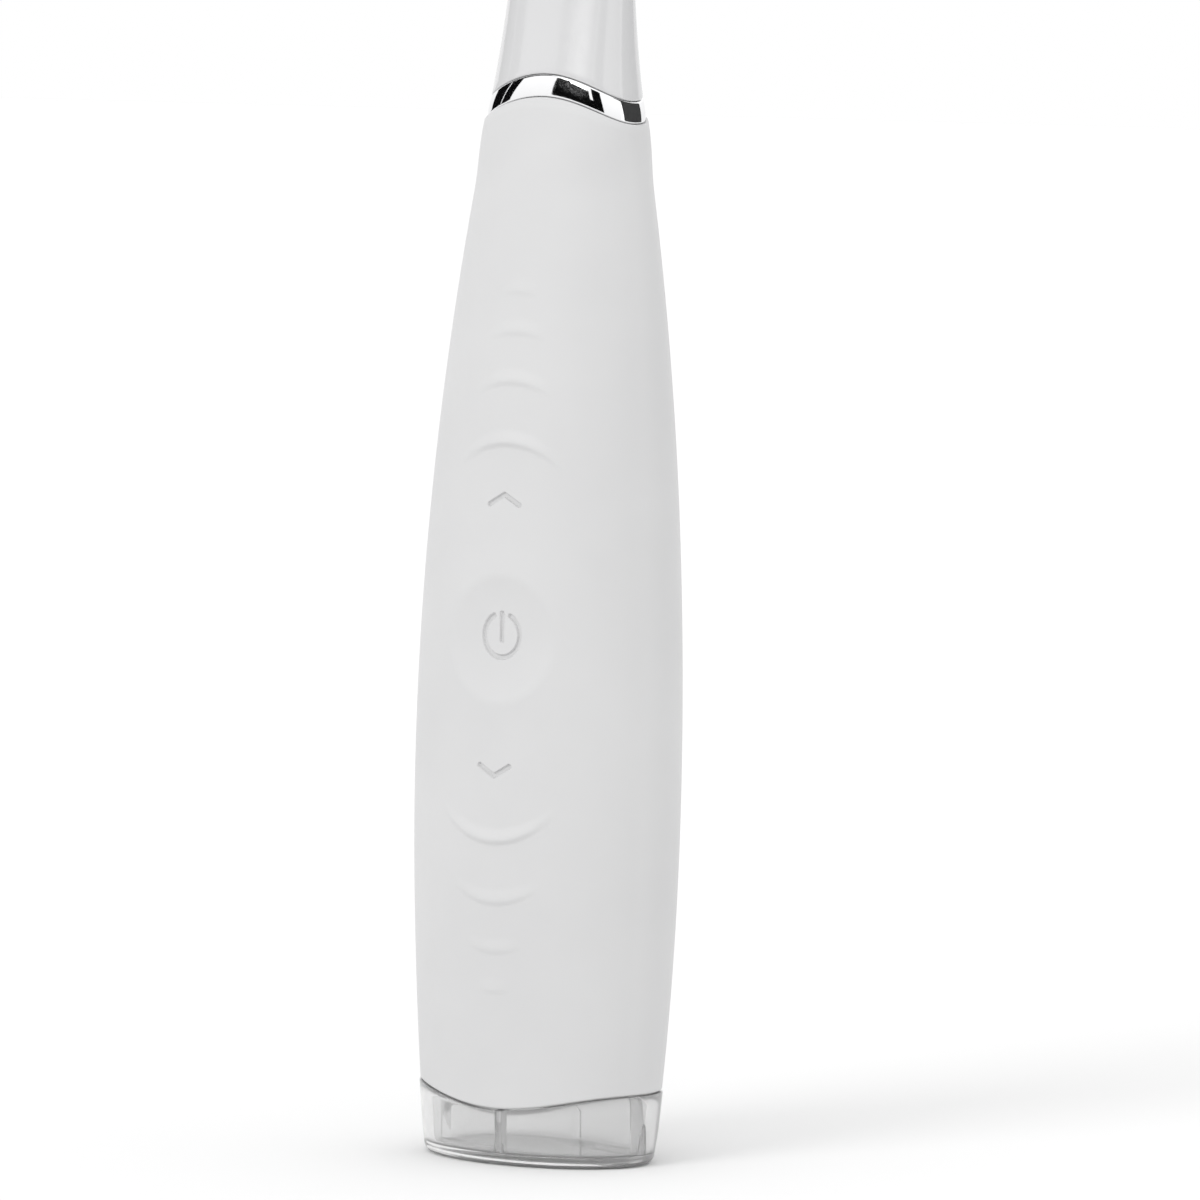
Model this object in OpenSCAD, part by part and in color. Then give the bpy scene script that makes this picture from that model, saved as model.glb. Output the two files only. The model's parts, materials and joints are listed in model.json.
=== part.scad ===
// Cordless ultrasonic skin scrubber: soft-touch grip, bright trim ring, gloss neck, steel spatula blade
// and a clear pull-off base cap. Millimetres, +Z up, the front with the three keys faces -Y,
// and the origin is the centre of the flat foot of the base cap.

/* [Grip outline] */
// Height of the shoulder, where the grip meets the trim ring at the sides
shoulder_z = 135; // [110:1:165]
// Width of the grip at the foot
base_w = 33.6; // [28:0.1:42]
// Width of the grip at its widest
belly_w = 38.8; // [32:0.1:47]
// Height of the widest place
belly_z = 48; // [40:1:62]
// Width of the grip at the shoulder
shoulder_w = 23.2; // [20:0.1:28]
// How far the front stands forward of the origin at the foot
base_front = 10.1; // [8.5:0.1:12]
// How far the front stands forward at its fullest
front_bulge = 10.3; // [8.8:0.1:12.4]
// Height of the fullest place of the front
front_bulge_z = 36; // [26:1:40]
// How far the front stands forward at the shoulder
shoulder_front = 0.1; // [-0.6:0.1:0.8]
// How far the rear stands back at the foot
base_rear = 10.1; // [8.5:0.1:12]
// How far the rear stands back at its fullest
rear_bulge = 15.3; // [12.8:0.1:18.4]
// Height of the fullest place of the rear
rear_bulge_z = 86; // [70:1:100]
// How far the rear stands back at the shoulder
shoulder_rear = 13; // [11.5:0.1:14.5]
// Squareness of the section at the shoulder and neck, where 2 is an ellipse
neck_squareness = 2.5; // [2:0.1:3]
// Height up to which the section is an ellipse
ellipse_top_z = 126; // [90:1:128]

/* [Neck] */
// Length of the neck above the shoulder
neck_len = 33; // [27:1:40]
// Width of the neck's tip
tip_w = 17.6; // [16:0.1:20]
// Front of the neck's tip, behind the origin
tip_front = 5.8; // [5.5:0.1:6.2]
// Rear of the neck's tip, behind the origin
tip_rear = 11.6; // [11.4:0.1:13]
// Wall of the neck where the seal presses on it
neck_wall = 1.8; // [1.5:0.05:2]
// Wall of the neck at its tip
neck_tip_wall = 1.2; // [1:0.05:1.5]

/* [Seams and ring] */
// Height of the lower seam at the front and rear centre
base_seam_z = 7.4; // [6:0.1:9]
// How much the lower seam rises towards the sides
base_seam_rise = 2.4; // [0:0.1:3]
// Height of the trim ring's lower edge at the front centre, above the shoulder
ring_lift = 3.2; // [2.6:0.1:4]
// How much the trim ring falls towards the sides
ring_fall = 3.5; // [0:0.1:4.5]
// Height of the trim ring's bright band
ring_h = 2.9; // [2:0.1:3.5]
// How far the ring and neck lie inside the grip's outline
ring_inset = 0.3; // [0.1:0.05:0.5]

/* [Walls] */
// Thickness of the silicone sleeve
sleeve_wall = 1.5; // [1.2:0.05:1.8]
// Thickness of the rigid body tube
tube_wall = 1.6; // [1.3:0.05:2]
// Glue gap between fixed nested walls
bond_gap = 0.05; // [0.03:0.01:0.1]
// Air gap between pieces that move past each other
move_gap = 0.3; // [0.2:0.05:0.4]
// Radial running clearance of a stem in its bore
run_gap = 0.06; // [0.03:0.01:0.1]

/* [Keys] */
// Distance from the power key up to the upper key
up_pitch = 18.5; // [16:0.5:22]
// Distance from the power key down to the lower key
down_pitch = 17; // [15:0.5:20]
// Diameter of the power key's pad
power_pad_d = 12; // [10:0.1:14]
// Diameter of the up and down keys' pads
arrow_pad_d = 9; // [7.5:0.1:10]
// How far a key travels
key_travel = 0.4; // [0.3:0.05:0.5]
// Depth of the finger dish at the power key
dish_depth = 0.95; // [0.6:0.05:1.1]
// Radius of the finger dish's hollow
dish_r = 43; // [36:1:52]
// Depth of the engraved signs
sign_depth = 0.25; // [0.2:0.05:0.3]
// Line width of the engraved signs
sign_line = 0.7; // [0.55:0.05:0.8]
// Diameter of the power sign
power_sign_d = 6.3; // [5.2:0.1:7.5]
// Width of an arrow sign
arrow_sign_w = 5.1; // [4.2:0.1:6]
// Height of an arrow sign
arrow_sign_h = 1.9; // [1.5:0.1:2.3]

/* [Grip ribs] */
// Widths of the ribs above the keys, from the lowest up
upper_rib_w = [15, 10.5, 7.4, 5];
// Distance from the up key to the first upper rib
upper_rib_start = 6.6; // [6:0.1:8]
// Distance from one upper rib to the next
upper_rib_pitch = 6.6; // [5.5:0.1:7.6]
// Widths of the ribs below the keys, from the highest down
lower_rib_w = [16, 12.4, 8.6, 5];
// Distance from the down key to the first lower rib
lower_rib_start = 8.8; // [8:0.1:10]
// Distance from one lower rib to the next
lower_rib_pitch = 6.9; // [5.8:0.1:8]
// Radius of a rib's bow as seen from the front
rib_bow_r = 17; // [14:0.5:22]
// Width of a rib
rib_w = 1.8; // [1.2:0.1:2.2]
// Height of a rib above the sleeve
rib_h = 0.35; // [0.2:0.05:0.5]

/* [Blade] */
// Thickness of the steel
blade_t = 0.8; // [0.6:0.05:1]
// Plane of the blade, behind the origin
blade_y = 8.2; // [8:0.05:8.4]
// Width of the blade where it passes the neck
blade_neck_w = 10.6; // [9:0.1:11.6]
// Width of the blade's working end
blade_tip_w = 14.2; // [12:0.1:14.4]
// Width of the shank that carries the ceramic
shank_w = 17.2; // [16.6:0.1:17.6]
// Height of the shank
shank_h = 30; // [28:1:33]
// Straight length of blade between the neck's tip and the bend
blade_rise = 4.5; // [3:0.5:6]
// Angle of the bend, towards the rear
blade_bend = 32; // [20:1:45]
// Radius of the bend at the middle of the steel
blade_bend_r = 8; // [6:0.5:10]
// Length of blade past the bend
blade_reach = 13; // [10:0.5:16]
// Diameter of the piezo ceramic disc
piezo_d = 15.5; // [13:0.1:16]
// Thickness of the piezo ceramic disc
piezo_t = 1.6; // [1:0.1:2]

/* [Inside] */
// Thickness of the main board
board_t = 1.2; // [1:0.1:1.6]
// Thickness of the key frame's plate
frame_t = 1.1; // [0.9:0.1:1.4]
// Height of a tact switch's case
switch_h = 1.5; // [1.2:0.1:1.6]
// Side of a tact switch's case
switch_w = 4.2; // [3.6:0.1:4.6]
// Thickness of the chassis plate
chassis_t = 1.2; // [1:0.1:1.5]
// Length of the battery cell
battery_len = 44; // [36:1:52]
// Room kept behind the cell, where the tube is round
battery_back_room = 2.2; // [2:0.1:3]
// Diameter of a lead
lead_d = 1.2; // [1:0.1:1.4]

/* [Tail and base cap] */
// Wall of the clear base cap
cap_wall = 1.8; // [1.4:0.1:2.2]
// Floor of the clear base cap
cap_floor = 2; // [1.6:0.1:2.2]
// How far the cap stands proud of the grip's outline
cap_proud = 0.15; // [0:0.05:0.3]
// Diameter of a locating post of the cap
post_d = 1.5; // [1.2:0.1:1.7]
// How far a post reaches into the tail plug
post_grip = 3; // [2:0.1:3.4]
// Width of the charging socket's shell
socket_w = 8.94; // [8:0.02:10]
// Depth of the charging socket's shell
socket_d = 3.26; // [2.8:0.02:3.8]

/* [Hidden] */
$fn = 48;
around = 48;                 // points round a lofted section
eps = 0.01;

// Colours
white_silicone = [0.86, 0.86, 0.86];
white_gloss = [0.88, 0.88, 0.89];
white_abs = [0.82, 0.82, 0.8];
chrome = [0.75, 0.76, 0.78];
steel = [0.7, 0.71, 0.72];
clear = [0.85, 0.88, 0.9, 0.4];
black_rubber = [0.12, 0.12, 0.12];
board_green = [0.05, 0.32, 0.16];
ceramic = [0.85, 0.8, 0.65];
cell_silver = [0.62, 0.64, 0.68];
copper_red = [0.7, 0.12, 0.1];

// Heights that follow from the outline
tip_z = shoulder_z + neck_len;
power_z = shoulder_z / 2 + 1;
up_z = power_z + up_pitch;
down_z = power_z - down_pitch;
ring_z = shoulder_z + ring_lift;
tube_top_z = ring_z + ring_h + 1.9;
tube_foot_z = base_seam_z + 7.6;
seal_h = 1.8;

// A value that bows as a parabola from its low end to its peak and on to its high end
function bow(z, z_lo, v_lo, z_pk, v_pk, z_hi, v_hi) =
    z < z_pk ? v_pk + (v_lo - v_pk) * pow((z_pk - z) / (z_pk - z_lo), 2)
             : v_pk + (v_hi - v_pk) * pow((z - z_pk) / (z_hi - z_pk), 2);

// A cubic from v0 with slope s0 to v1 with slope s1, where u runs from 0 to 1 over a length
function ease(u, length, v0, s0, v1, s1) =
    (2 * pow(u, 3) - 3 * pow(u, 2) + 1) * v0 + (pow(u, 3) - 2 * pow(u, 2) + u) * length * s0
    + (3 * pow(u, 2) - 2 * pow(u, 3)) * v1 + (pow(u, 3) - pow(u, 2)) * length * s1;

// Outline of the grip below the shoulder and of the neck above it, meeting with the same slope
function outline(z, lo, pk_z, pk, hi, tip, tip_slope) =
    z <= shoulder_z ? bow(z, 0, lo, pk_z, pk, shoulder_z, hi)
    : ease((z - shoulder_z) / neck_len, neck_len, hi, 2 * (hi - pk) / (shoulder_z - pk_z), tip, tip_slope);

function half_w(z) = outline(z, base_w / 2, belly_z, belly_w / 2, shoulder_w / 2, tip_w / 2, -0.03);
function front_y(z) = -outline(z, base_front, front_bulge_z, front_bulge, shoulder_front, -tip_front, -0.08);
function rear_y(z) = outline(z, base_rear, rear_bulge_z, rear_bulge, shoulder_rear, tip_rear, -0.02);
function mid_y(z) = (front_y(z) + rear_y(z)) / 2;
function half_d(z) = (rear_y(z) - front_y(z)) / 2;
function squareness(z) =
    let (u = min(1, max(0, (z - ellipse_top_z) / (shoulder_z - ellipse_top_z))))
    2 + (neck_squareness - 2) * u * u * (3 - 2 * u);

function neck_bore(z) =
    ring_inset + neck_wall + (neck_tip_wall - neck_wall) * (z - shoulder_z) / neck_len;

function signed_pow(v, p) = sign(v) * pow(abs(v), p);

// A point of the outline at height z, moved in by inset, at angle t round the section
function skin(z, inset, t) =
    let (p = 2 / squareness(z))
    [(half_w(z) - inset) * signed_pow(cos(t), p), mid_y(z) + (half_d(z) - inset) * signed_pow(sin(t), p), z];

// A seam's height at angle t: z_mid at the front centre, z_side at the sides, an arc in front view
function seam(z_mid, z_side, t) =
    z_mid + (z_side - z_mid) * pow(abs(cos(t)), 4 / squareness(z_mid));

// Half the free width inside a wall of this inset, at height z and depth y
function room_x(z, inset, y) =
    let (n = squareness(z), v = min(1, abs(y - mid_y(z)) / (half_d(z) - inset)))
    (half_w(z) - inset) * pow(1 - pow(v, n), 1 / n);

// Levels of [inset, z, z] from z_a to z_b
function levels(inset, z_a, z_b, count) = [for (k = [0:count]) let (z = z_a + (z_b - z_a) * k / count) [inset, z, z]];

// Shares of a wall's height from z_a to z_b, close together where the section turns square
function shares(z_a, z_b, coarse, fine) =
    let (v = (ellipse_top_z - 4 - z_a) / (z_b - z_a))
    [for (k = [0:coarse - 1]) v * k / coarse, for (k = [0:fine]) v + (1 - v) * k / fine];

// The points of a lofted profile, whose entries are [inset, height at the centre, height at the sides]
function loft_points(profile) = [
    for (p = profile)
        for (i = [0:around - 1])
            let (t = 360 * i / around)
            skin(seam(p[1], p[2], t), p[0], t)
];

function loft_faces(rows, closed) = [
    for (k = [0:rows - (closed ? 1 : 2)])
        for (i = [0:around - 1])
            let (a = k * around, b = ((k + 1) % rows) * around, j = (i + 1) % around)
            for (f = [[a + i, b + j, a + j], [a + i, b + i, b + j]])
                f
];

// Strips that close an end, each between two points of the same width
function end_faces(row, up) = [
    for (i = [0:around / 2 - 1])
        let (a = row * around + i, b = row * around + i + 1,
             c = row * around + (around - i - 1) % around, d = row * around + (around - i) % around)
        for (f = i == 0 ? [[a, b, c]] : i == around / 2 - 1 ? [[a, b, d]] : [[a, b, c], [a, c, d]])
            up ? [f[2], f[1], f[0]] : f
];

// A ring of the section, with a closed profile given outside upwards and inside downwards
module ring_loft(profile) {
    polyhedron(points = loft_points(profile), faces = loft_faces(len(profile), true), convexity = 8);
}

// A solid or a cup, whose profile runs from the edge of its under side to the edge of its upper side
module cup_loft(profile) {
    rows = len(profile);
    faces = concat(loft_faces(rows, false), end_faces(0, false), end_faces(rows - 1, true));
    polyhedron(points = loft_points(profile), faces = faces, convexity = 8);
}

// A cylinder along Y from y_a back to y_b
module rod_y(x, z, d, y_a, y_b) {
    translate([x, y_b, z])
        rotate([90, 0, 0])
            cylinder(d = d, h = y_b - y_a);
}

// A cylinder along Z from z_a up to z_b
module rod_z(x, y, d, z_a, z_b) {
    translate([x, y, z_a])
        cylinder(d = d, h = z_b - z_a);
}

// A box from its low corner to its high corner
module block(lo, hi) {
    translate(lo)
        cube(hi - lo);
}

// ---------------------------------------------------------------- outer shells

lip = 1.8;                   // height of the rounded lips of the sleeve
inner_wall = sleeve_wall + tube_wall;
blade_gap = 0.15;            // air round the steel inside the tube

module key_holes(extra) {
    rod_y(0, power_z, power_pad_d + 2 * extra, -40, 0);
    rod_y(0, up_z, arrow_pad_d + 2 * extra, -40, 0);
    rod_y(0, down_z, arrow_pad_d + 2 * extra, -40, 0);
}

// The hollow that the thumb rests in, scooped by a cylinder that lies across the grip
module dish() {
    translate([-belly_w / 2, front_y(power_z) + dish_depth - dish_r, power_z])
        rotate([0, 90, 0])
            cylinder(r = dish_r, h = belly_w, $fn = 180);
}

// One bowed rib, thickest in the middle and fading out at its ends; up is 1 or -1
module rib(z, width, up) {
    steps = 10;
    sides = 6;
    points = [
        for (k = [0:steps])
            let (x = width * (k / steps - 0.5), fade = max(0.08, cos(180 * (k / steps - 0.5))),
                 zz = z - up * (rib_bow_r - sqrt(pow(rib_bow_r, 2) - x * x)),
                 y = mid_y(zz) - half_d(zz) * pow(1 - pow(abs(x) / half_w(zz), squareness(zz)), 1 / squareness(zz)))
            for (s = [0:sides - 1])
                let (angle = 180 * s / (sides - 1))
                [x, y + 0.3 - (0.3 + rib_h * fade) * sin(angle), zz + rib_w / 2 * fade * cos(angle)]
    ];
    faces = concat(
        [for (k = [0:steps - 1]) for (s = [0:sides - 1])
            let (a = k * sides, b = a + sides, t = (s + 1) % sides)
            for (f = [[a + s, b + t, a + t], [a + s, b + s, b + t]]) f],
        [[for (s = [0:sides - 1]) s]],
        [[for (s = [0:sides - 1]) steps * sides + sides - 1 - s]]
    );
    polyhedron(points = points, faces = faces, convexity = 4);
}

module grip_sleeve() {
    top_mid = ring_z;
    top_side = ring_z - ring_fall;
    foot_mid = base_seam_z;
    foot_side = base_seam_z + base_seam_rise;
    mid_h = top_mid - foot_mid;
    side_h = top_side - foot_side;
    outer = [for (u = shares(foot_mid, top_mid, 12, 5))
        [0, foot_mid + lip + u * (mid_h - 2 * lip), foot_side + lip + u * (side_h - 2 * lip)]];
    up = shares(foot_mid, top_mid, 12, 6);
    inner = [for (k = [len(up) - 1:-1:0]) [sleeve_wall, foot_mid + up[k] * mid_h, foot_side + up[k] * side_h]];
    color(white_silicone) {
        difference() {
            ring_loft(concat(
                [[0.5, foot_mid, foot_side], [0.15, foot_mid + lip / 3, foot_side + lip / 3]],
                outer,
                [[0.15, top_mid - lip / 3, top_side - lip / 3], [0.5, top_mid, top_side]],
                inner
            ));
            key_holes(move_gap);
            dish();
        }
        for (k = [0:len(upper_rib_w) - 1])
            rib(up_z + upper_rib_start + k * upper_rib_pitch, upper_rib_w[k], 1);
        for (k = [0:len(lower_rib_w) - 1])
            rib(down_z - lower_rib_start - k * lower_rib_pitch, lower_rib_w[k], -1);
    }
}

// Room for the steel where it slides up inside the tube
module blade_slot(half, z_a, z_b) {
    depth = blade_t / 2 + blade_gap;
    block([-half - blade_gap, blade_y - depth, z_a], [half + blade_gap, blade_y + depth, z_b]);
}

module body_tube() {
    outer = sleeve_wall + bond_gap;
    color(white_abs)
        difference() {
            ring_loft(concat(
                [for (u = shares(tube_foot_z, tube_top_z, 14, 8))
                    let (z = tube_foot_z + u * (tube_top_z - tube_foot_z))
                    [outer, z, z]],
                levels(inner_wall, tube_top_z, tube_foot_z, 12)
            ));
            key_holes(move_gap);
            blade_slot(shank_w / 2, tube_foot_z - 1, shank_top_z + 3);
            blade_slot(blade_neck_w / 2, shank_top_z, tube_top_z + 1);
        }
}

module trim_ring() {
    low_mid = ring_z + bond_gap;
    low_side = low_mid - ring_fall;
    soft = 0.35;
    color(chrome)
        ring_loft([
            [ring_inset + soft, low_mid, low_side],
            [ring_inset, low_mid + soft, low_side + soft],
            [ring_inset, low_mid + ring_h - soft, low_side + ring_h - soft],
            [ring_inset + soft, low_mid + ring_h, low_side + ring_h],
            [sleeve_wall, low_mid + ring_h, low_side + ring_h],
            [sleeve_wall, low_mid, low_side]
        ]);
}

// The neck slips over the tube's end, and its shoulder presses on the neck seal
module neck_shell() {
    low_mid = ring_z + ring_h + 2 * bond_gap;
    low_side = low_mid - ring_fall;
    shoulder = tube_top_z + seal_h;
    outer = ring_inset;
    rim = 0.9;
    color(white_gloss)
        ring_loft(concat(
            [[outer, low_mid, low_side], [outer, low_mid + 2, low_side + 4]],
            levels(outer, shoulder + 1, tip_z - rim, 8),
            [[outer + 0.3, tip_z - 0.3, tip_z - 0.3], [outer + 0.9, tip_z, tip_z]],
            [for (p = levels(0, tip_z, shoulder, 8)) [neck_bore(p[1]), p[1], p[1]]],
            [[sleeve_wall - bond_gap, shoulder, shoulder], [sleeve_wall - bond_gap, low_mid, low_side]]
        ));
}

module neck_seal() {
    lo = tube_top_z + bond_gap / 2;
    hi = tube_top_z + seal_h - bond_gap / 2;
    outer = sleeve_wall + bond_gap;
    inner = inner_wall - 0.4;
    color(black_rubber)
        ring_loft([[outer, lo, lo], [outer, hi, hi], [inner, hi, hi], [inner, lo, lo]]);
}

// ---------------------------------------------------------------- blade and its drive

shank_top_z = shoulder_z - 15;
shank_foot_z = shank_top_z - shank_h;
shank_hole_z = shank_foot_z + 4;
shank_hole_x = 5.5;
bend_z = tip_z + blade_rise;
piezo_z = shank_foot_z + 8.4 + piezo_d / 2;

// The blade's side view: up the shank, round the bend and along the working end
function blade_path(side) =
    let (r = blade_bend_r - side * blade_t / 2)
    [
        [blade_y + side * blade_t / 2, shank_foot_z],
        for (k = [0:8])
            let (a = blade_bend * k / 8)
            [blade_y + blade_bend_r - r * cos(a), bend_z + r * sin(a)],
        let (a = blade_bend, edge = side > 0 ? 0 : 0.4)
        [blade_y + blade_bend_r - r * cos(a) + (blade_reach - edge) * sin(a),
         bend_z + r * sin(a) + (blade_reach - edge) * cos(a)]
    ];

blade_top_z = bend_z + blade_bend_r * sin(blade_bend) + blade_reach * cos(blade_bend);

// Half the outline of the blade in front view, from the shank's foot up to the tip
function blade_edge() =
    let (flare = bend_z + 1, corner = 2.5)
    [
        [shank_w / 2 - 1.5, shank_foot_z], [shank_w / 2, shank_foot_z + 1.5],
        [shank_w / 2, shank_top_z - 3], [blade_neck_w / 2, shank_top_z + 3],
        [blade_neck_w / 2, flare - 3],
        for (k = [1:6])
            let (u = k / 6)
            [blade_neck_w / 2 + (blade_tip_w - blade_neck_w) / 2 * u * u * (3 - 2 * u), flare - 3 + 8 * u],
        for (k = [0:5])
            let (a = 18 * k)
            [blade_tip_w / 2 - corner + corner * cos(a), blade_top_z - corner + 0.3 + corner * sin(a)]
    ];

module scrubber_blade() {
    edge = blade_edge();
    last = len(edge) - 1;
    front_side = blade_path(-1);
    rear_side = blade_path(1);
    color(steel)
        difference() {
            intersection() {
                translate([-20, 0, 0])
                    rotate([90, 0, 90])
                        linear_extrude(40)
                            polygon(concat(front_side, [for (k = [len(rear_side) - 1:-1:0]) rear_side[k]]));
                translate([0, 40, 0])
                    rotate([90, 0, 0])
                        linear_extrude(60)
                            polygon(concat(edge, [for (k = [last:-1:0]) [-edge[k][0], edge[k][1]]]));
            }
            for (side = [-1, 1])
                rod_y(side * shank_hole_x, shank_hole_z, 3.2, blade_y - 3, blade_y + 3);
        }
}

// Silicone boot that seals the blade in the neck's tip
module blade_seal() {
    lo = tip_z - 5;
    slot_w = blade_neck_w / 2 + 0.02;
    slot_t = blade_t / 2 + 0.02;
    color(black_rubber)
        difference() {
            union() {
                cup_loft([for (p = levels(0, lo, tip_z + 0.1, 4)) [neck_bore(p[1]) + bond_gap, p[1], p[1]]]);
                hull()
                    for (side = [-1, 1])
                        rod_z(side * (slot_w - 0.4), blade_y, 1.7, tip_z + bond_gap, tip_z + 0.8);
            }
            block([-slot_w, blade_y - slot_t, lo - 1], [slot_w, blade_y + slot_t, tip_z + 3]);
        }
}

module piezo_disc() {
    color(ceramic)
        rod_y(0, piezo_z, piezo_d, blade_y - blade_t / 2 - piezo_t, blade_y - blade_t / 2);
}

damper_t = 1;
damper_front = blade_y - blade_t / 2 - damper_t;
damper_rear = blade_y + blade_t / 2 + damper_t;

// Two rubber bushes, each gripping the shank's hole from both sides
module shank_dampers() {
    color(black_rubber)
        for (side = [-1, 1])
            difference() {
                union() {
                    rod_y(side * shank_hole_x, shank_hole_z, 5, damper_front, blade_y - blade_t / 2);
                    rod_y(side * shank_hole_x, shank_hole_z, 3.2, damper_front, damper_rear);
                    rod_y(side * shank_hole_x, shank_hole_z, 5, blade_y + blade_t / 2, damper_rear);
                }
                rod_y(side * shank_hole_x, shank_hole_z, 2.1, damper_front - 1, damper_rear + 1);
            }
}

// A pan-head screw along Y with a cross recess, head towards the rear
module screw_y(x, z, d, y_tip, y_seat, head_d, head_h) {
    difference() {
        union() {
            rod_y(x, z, d, y_tip, y_seat);
            rod_y(x, z, head_d, y_seat, y_seat + head_h);
        }
        for (turn = [0, 90])
            translate([x, y_seat + head_h, z])
                rotate([0, turn, 0])
                    cube([head_d * 0.6, head_h, head_d * 0.14], center = true);
    }
}

module shank_screws() {
    color(steel)
        for (side = [-1, 1])
            screw_y(side * shank_hole_x, shank_hole_z, 2, plate_back, damper_rear, 3.6, 0.8);
}

// ---------------------------------------------------------------- keys

// Depths of the stack behind the keys
frame_y = front_y(up_z) + inner_wall + 0.95;
switch_stem_h = key_travel + 0.1;
switch_stem_d = 1.8;
board_y = frame_y + frame_t + switch_stem_h + 0.3 + switch_h;
board_back = board_y + board_t;
plate_front = board_back + 0.6;
plate_back = plate_front + chassis_t;
head_t = 1;
stem_end_y = board_y - switch_h - switch_stem_h;

// The slope of the front surface, in degrees from upright
function front_tilt(z) = atan((front_y(z + 1) - front_y(z - 1)) / 2);
function front_round(z) = pow(half_w(z), 2) / half_d(z);

// A pad whose outer face follows the grip's surface, from the surface back to y_back
module pad(z, d, y_back) {
    r = front_round(z);
    intersection() {
        rod_y(0, z, d, front_y(z) - 3, y_back);
        translate([0, front_y(z), z])
            rotate([-front_tilt(z), 0, 0])
                translate([0, r, -d])
                    cylinder(r = r, h = 2 * d, $fn = 120);
    }
}

power_pad_back = front_y(power_z) + dish_depth + 1.1;
function arrow_pad_back(z) = front_y(z) + 1.4;

// The power sign: an open ring with a bar in its gap
module power_sign() {
    floor_y = front_y(power_z) + dish_depth + sign_depth;
    r = power_sign_d / 2;
    difference() {
        rod_y(0, power_z, 2 * r, floor_y - 3, floor_y);
        rod_y(0, power_z, 2 * (r - sign_line), floor_y - 4, floor_y + 1);
        block([-1.35, floor_y - 4, power_z], [1.35, floor_y + 1, power_z + 2 * r]);
    }
    block([-sign_line / 2, floor_y - 3, power_z - 0.5], [sign_line / 2, floor_y, power_z + r + 0.1]);
}

// An arrow sign: two bars that meet in a point, up or down
module arrow_sign(z, up) {
    floor_y = front_y(z) + sign_depth;
    half = arrow_sign_w / 2;
    rise = (arrow_sign_h - sign_line) * up;
    translate([0, floor_y, z])
        rotate([90, 0, 0])
            linear_extrude(3)
                polygon([
                    [-half, -rise / 2 - sign_line / 2], [0, rise / 2 - sign_line / 2],
                    [half, -rise / 2 - sign_line / 2], [half, -rise / 2 + sign_line / 2],
                    [0, rise / 2 + sign_line / 2], [-half, -rise / 2 + sign_line / 2]
                ]);
}

module power_button() {
    color(white_silicone)
        difference() {
            pad(power_z, power_pad_d, power_pad_back);
            dish();
            power_sign();
        }
}

module arrow_button(z, up) {
    color(white_silicone)
        difference() {
            pad(z, arrow_pad_d, arrow_pad_back(z));
            arrow_sign(z, up);
        }
}

module up_button() {
    arrow_button(up_z, 1);
}

module down_button() {
    arrow_button(down_z, -1);
}

// A plunger: a round head glued behind the pad, and a stem down to the switch
module plunger(z, y_head, head_d, stem_d) {
    color(white_abs)
        union() {
            rod_y(0, z, head_d, y_head, y_head + head_t);
            rod_y(0, z, stem_d, y_head + head_t / 2, stem_end_y);
        }
}

power_stem_d = 4;
arrow_stem_d = 3;

module power_plunger() {
    plunger(power_z, power_pad_back, power_pad_d - 3, power_stem_d);
}

module up_plunger() {
    plunger(up_z, arrow_pad_back(up_z), arrow_pad_d - 2.5, arrow_stem_d);
}

module down_plunger() {
    plunger(down_z, arrow_pad_back(down_z), arrow_pad_d - 2.5, arrow_stem_d);
}

// The round button of a tact switch, which its plunger pushes into the case
module switch_stem(z) {
    color(black_rubber)
        rod_y(0, z, switch_stem_d, stem_end_y, board_y - switch_h + 0.3);
}

module power_switch_stem() {
    switch_stem(power_z);
}

module up_switch_stem() {
    switch_stem(up_z);
}

module down_switch_stem() {
    switch_stem(down_z);
}

// A plate in front of the board that guides the three stems
module key_frame() {
    back = frame_y + frame_t;
    step_z = power_z + 8;
    room = min(room_x(down_z - 6, inner_wall, frame_y), room_x(step_z, inner_wall, frame_y));
    wide_half = min(8, room - 0.4);
    slim_half = min(room_x(up_z + 4, inner_wall, frame_y) - 0.4, 4.4);
    color(white_abs)
        difference() {
            union() {
                block([-wide_half, frame_y, down_z - 6], [wide_half, back, step_z]);
                block([-slim_half, frame_y, step_z - 1], [slim_half, back, up_z + 3.8]);
                for (side = [-1, 1])
                    for (z = [down_z - 4, step_z - 2])
                        rod_y(side * (wide_half - 1.5), z, 2, back - 0.5, board_y);
            }
            rod_y(0, power_z, power_stem_d + 2 * run_gap, frame_y - 1, back + 1);
            rod_y(0, up_z, arrow_stem_d + 2 * run_gap, frame_y - 1, back + 1);
            rod_y(0, down_z, arrow_stem_d + 2 * run_gap, frame_y - 1, back + 1);
        }
}

module switch_bodies() {
    face = board_y - switch_h;
    bore_d = switch_stem_d + 2 * run_gap;
    color([0.2, 0.2, 0.22])
        for (z = [power_z, up_z, down_z])
            difference() {
                union() {
                    block([-switch_w / 2, face, z - switch_w / 2], [switch_w / 2, board_y, z + switch_w / 2]);
                    for (side = [-1, 1])
                        block([side * switch_w / 2 - 0.6, board_y - 0.3, z - 1.4],
                            [side * switch_w / 2 + 0.6, board_y, z + 1.4]);
                }
                rod_y(0, z, bore_d, face - 1, face + 0.3 + key_travel + 0.2);
            }
}

// ---------------------------------------------------------------- boards, battery and chassis

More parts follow.
